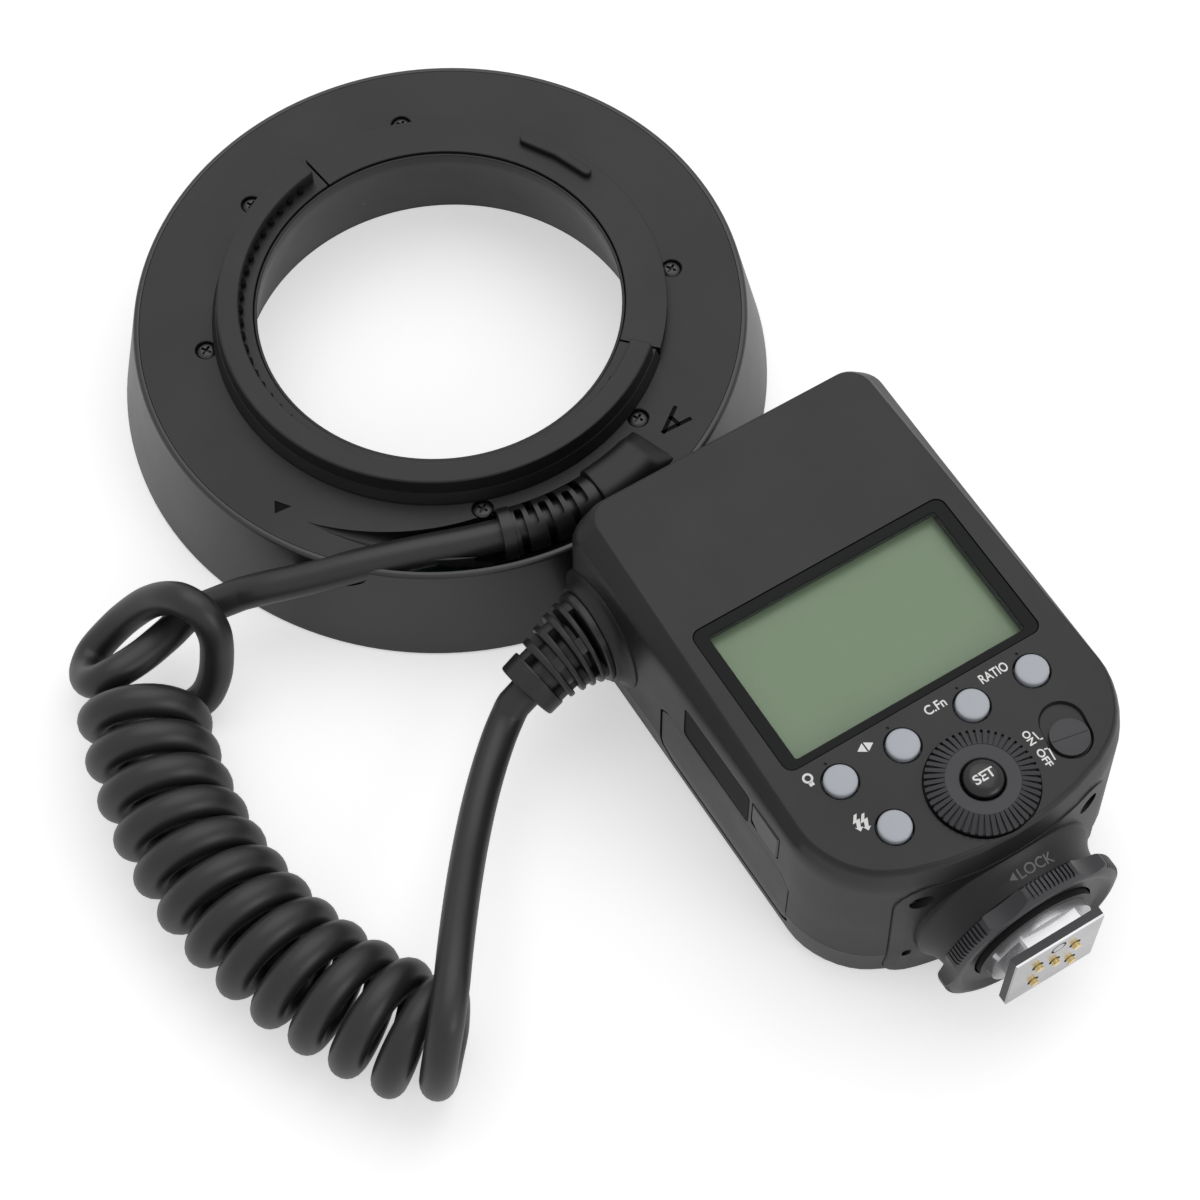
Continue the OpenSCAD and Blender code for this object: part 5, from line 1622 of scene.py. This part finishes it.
    def bracket(self) -> None:
        """Plate with the round neck, and its screws."""
        shape = Shape()
        shape.lathe([(58.0, 1.2), (61.15, 1.2), (62.1, self.part), (61.1, 38.8), (58.0, 38.8)],
                    -112.0, 44.0, 60)
        shape.move(shift(0, self.foot + self.bow, 0))
        block = Shape()
        block.prism(slab(-22.3, 22.3, 1.2 - self.axis_z, 38.8 - self.axis_z, 6.0), 2.0, 22.0)
        facing = shift(0, 0, self.axis_z) @ TO_FOOT
        block.move(facing)
        shape.keep(block)
        neck = Shape()
        neck.lathe([(0, 9.0), (18.3, 9.0), (18.3, 11.3, 0.4), (16.5, 13.3, 1.6), (16.1, 16.9, 0.3),
                    (12.0, 16.9), (12.0, 21.2), (0, 21.2)], steps=96, segments=5)
        neck.move(facing)
        shape.add(neck)
        cuts = Shape()
        screw_x, screw_z = 17.7, 33.5
        for s in (-1, 1):
            cuts.move(shift(s * screw_x, 0, screw_z) @ TO_FOOT, cuts.plug(2.2, 7.2, 30))
        cuts.move(facing, cuts.prism(slab(-19.9, -18.3, -9.0, -6.4, 0.7), 8.9, 20.0))
        for x, z, r in ((0, 6, 1.6), (0, 0, 1.2), (-4, 2.6, 1.2), (4, 2.6, 1.2), (-4, -4.4, 1.2),
                        (4, -4.4, 1.2)):
            cuts.move(shift(x, 0, self.axis_z + z) @ TO_FOOT, cuts.plug(r, 18, 24, 24))
        shape.cut(cuts)
        shape.piece("foot_plate_and_neck", SHELL, stands_for=("foot_bracket",), place=ON_BODY)
        both = Shape()
        for s in (-1, 1):
            both.join(cross_screw(2.0, 5.4, 6.6, 5.4),
                      shift(s * screw_x, -1.8, screw_z) @ TO_FOOT @ turn(25.0 * s))
        both.piece("foot_plate_screws", SCREW, stands_for=("bracket_screws",), place=ON_BODY)

    def wheel(self) -> None:
        """Lock wheel with scallops and knurled lobes."""
        shape = Shape()
        shape.lathe([(12.4, 0), (18.5, 0, 0.5), (18.5, 2.7, 0.4), (16.8, 3.6, 0.4), (16.0, 3.6), (15.0, 2.8),
                     (12.4, 2.8)], steps=144)
        cuts = Shape()
        for i in range(6):
            cuts.move(turn(60.0 * i - 6.0) @ shift(29.7, 0, 0), cuts.plug(12.4, -1, 5, 96))
        shape.cut(cuts)
        ribs = Shape()
        for i in range(6):
            for k in range(11):
                one = ribs.block((17.95, -0.19, -1.0), (19.5, 0.19, 5.0))
                ribs.move(turn(60.0 * i + 24.0 + 2.75 * (k - 5)), one)
        shape.cut(ribs)
        shape.piece("lock_wheel_knurled", CONTROL, Body.WHEEL, ("lock_wheel",), self.on_foot(17.2), sharp=40.0)

    def shoe(self) -> None:
        """Foot for the camera's accessory shoe: stem, plate and bright sole."""
        for name, finish, near, far, r in (("accessory_foot_disc", STEEL, 20.0, 24.6, 10.6),
                                           ("accessory_foot", CONTROL, 24.6, 26.2, 20.0),
                                           ("accessory_foot_sole", STEEL, 26.2, 27.0, 20.0)):
            part, reach = Shape.of_node("shoe_foot"), Shape()
            reach.plug(r, near, far, 64)
            reach.move(self.on_foot(0.0))
            part.keep(reach).soften(0.15, 2, 60.0)
            part.piece(name, finish, stands_for=("shoe_foot",), slot="bright_metal")
        dress(STEEL, "lock_pin")
        dress(BRASS, "shoe_contacts")

    def inside(self) -> None:
        """Finishes of the pieces inside the controller."""
        dress(SCREW, "shell_screws")
        dress(RUBBER, "button_pad")
        dress(STEEL, "dial_encoder", "switch_body", "latch_spring")
        dress(BOARD, "main_board")
        dress(SLEEVE, "flash_capacitor")
        dress(COPPER, "transformer")
        dress(BRASS, "battery_contacts")

    def print_labels(self) -> None:
        """White words and signs on the face, and the sunk word on the neck."""
        f = self.face
        ink = Shape()
        for text, wide, x, y, angle in (("RATIO", 5.7, 14.05, 16.45, 0), ("C.Fn", 4.2, 1.6, 16.45, 0),
                                        ("ON", 2.9, 11.9, 2.85, -90), ("OFF", 3.7, 12.0, -1.65, -90)):
            tall = 1.85 if angle == 0 else 1.4
            ink.join(Shape.lettering(text, wide, tall, 0.045), shift(x, y, f) @ turn(angle))
        for x0, x1, x2 in ((-14.75, -13.25, 1), (-11.45, -12.95, -1)):
            self._stamp(ink, [(x0, 16.35), (x1, 16.35 - 0.95 * x2), (x1, 16.35 + 0.95 * x2)])
        self._bulb(ink, -24.85, 16.65)
        self._bolts(ink, -21.75, 5.0)
        for corners in (((13.1, 3.3), (13.3, 1.6), (13.85, 1.55)),
                        ((13.0, -0.35), (13.65, -0.45), (13.35, -2.8))):
            for a, b in zip(corners, corners[1:]):
                self._line(ink, Vector(a), Vector(b), 0.26)
        ink.piece("face_print", INK, place=ON_BODY, even=False)
        word = Shape.lettering("SET", 4.1, 1.85, 0.05)
        for v in word.bm.verts:
            r2 = (v.co.x - 0.1) ** 2 + v.co.y ** 2
            v.co.z += SET_TOP - SET_DOME + math.sqrt(max(0.0, SET_DOME ** 2 - r2)) - INK_SINK
        word.piece("set_print", INK, Body.SET, place=ON_BODY, even=False)
        self._lock_word()

    def _stamp(self, ink: Shape, corners: Sequence[Corner]) -> list:
        """Adds a printed shape on the face; returns its vertices."""
        return ink.prism(corners, self.face - INK_SINK, self.face + INK_RISE)

    def _line(self, ink: Shape, start: Vector, end: Vector, width: float) -> None:
        """Adds a straight printed line."""
        way, half = end - start, width / 2
        made = self._stamp(ink, slab(-half, way.length + half, -half, half))
        ink.move(Matrix.Translation((*start, 0)) @ turn(math.degrees(math.atan2(way.y, way.x))), made)

    def _bulb(self, ink: Shape, x: float, y: float) -> None:
        """Adds the sign of a lamp: a ring with a small cap below."""
        low, high = self.face - INK_SINK, self.face + INK_RISE
        ring = ink.lathe([(0.56, low), (0.98, low), (0.98, high), (0.56, high)], steps=32)
        ink.move(shift(x, y, 0), ring)
        self._stamp(ink, slab(x - 0.45, x + 0.45, y - 1.6, y - 0.85))

    def _bolts(self, ink: Shape, x: float, y: float) -> None:
        """Adds the sign of two flashes of lightning side by side."""
        bolt = [(0.3, 1.75), (-0.95, 0.15), (-0.2, 0.15), (-0.65, -0.95), (-1.05, -0.7), (-0.45, -1.95),
                (0.55, -1.3), (0.1, -1.15), (0.95, 0.55), (0.2, 0.55), (1.0, 1.75)]
        scale = 0.85
        for dx, dy in ((-0.6, 0.3), (0.85, -0.35)):
            self._stamp(ink, [(x + scale * (dx + a), y + scale * (dy + b)) for a, b in bolt])

    def _lock_word(self) -> None:
        """Sunk word and pointer round the neck."""
        word = Shape.lettering("LOCK", 7.4, 1.95, 0.02)
        word.move(shift(2.2, 0, 0))
        word.prism([(-3.4, 0.0), (-2.1, -0.8), (-2.1, 0.8)], -0.03, 0.03)
        bmesh.ops.subdivide_edges(word.bm, edges=word.bm.edges, cuts=1)
        for v in word.bm.verts:
            angle, back = v.co.x / 16.4, 14.6 - v.co.y
            r = 16.5 - 0.4 * (back - 13.3) / 3.6 + max(0.0, 14.9 - back) ** 2 / 9.0 + 0.02 + v.co.z
            v.co = Vector((r * math.sin(angle), -back, self.axis_z + r * math.cos(angle)))
        word.piece("neck_word", MARK, place=ON_BODY, even=False)

    def build(self) -> bpy.types.Object:
        """Makes the whole controller; returns its strain relief."""
        self.top_shell()
        self.back_shell()
        self.display()
        self.key_caps()
        self.dial()
        self.switch()
        self.battery()
        self.bracket()
        self.wheel()
        self.shoe()
        self.inside()
        self.print_labels()
        return self.boot()


def main() -> None:
    """Builds the studio, the head, the controller and the cord between them."""
    logging.basicConfig(level=logging.INFO, format="%(name)s: %(message)s")
    Studio().build()
    boots = [RingHead().build(), Controller().build()]
    CurlyCord().build(boots)


if __name__ == "__main__":
    main()
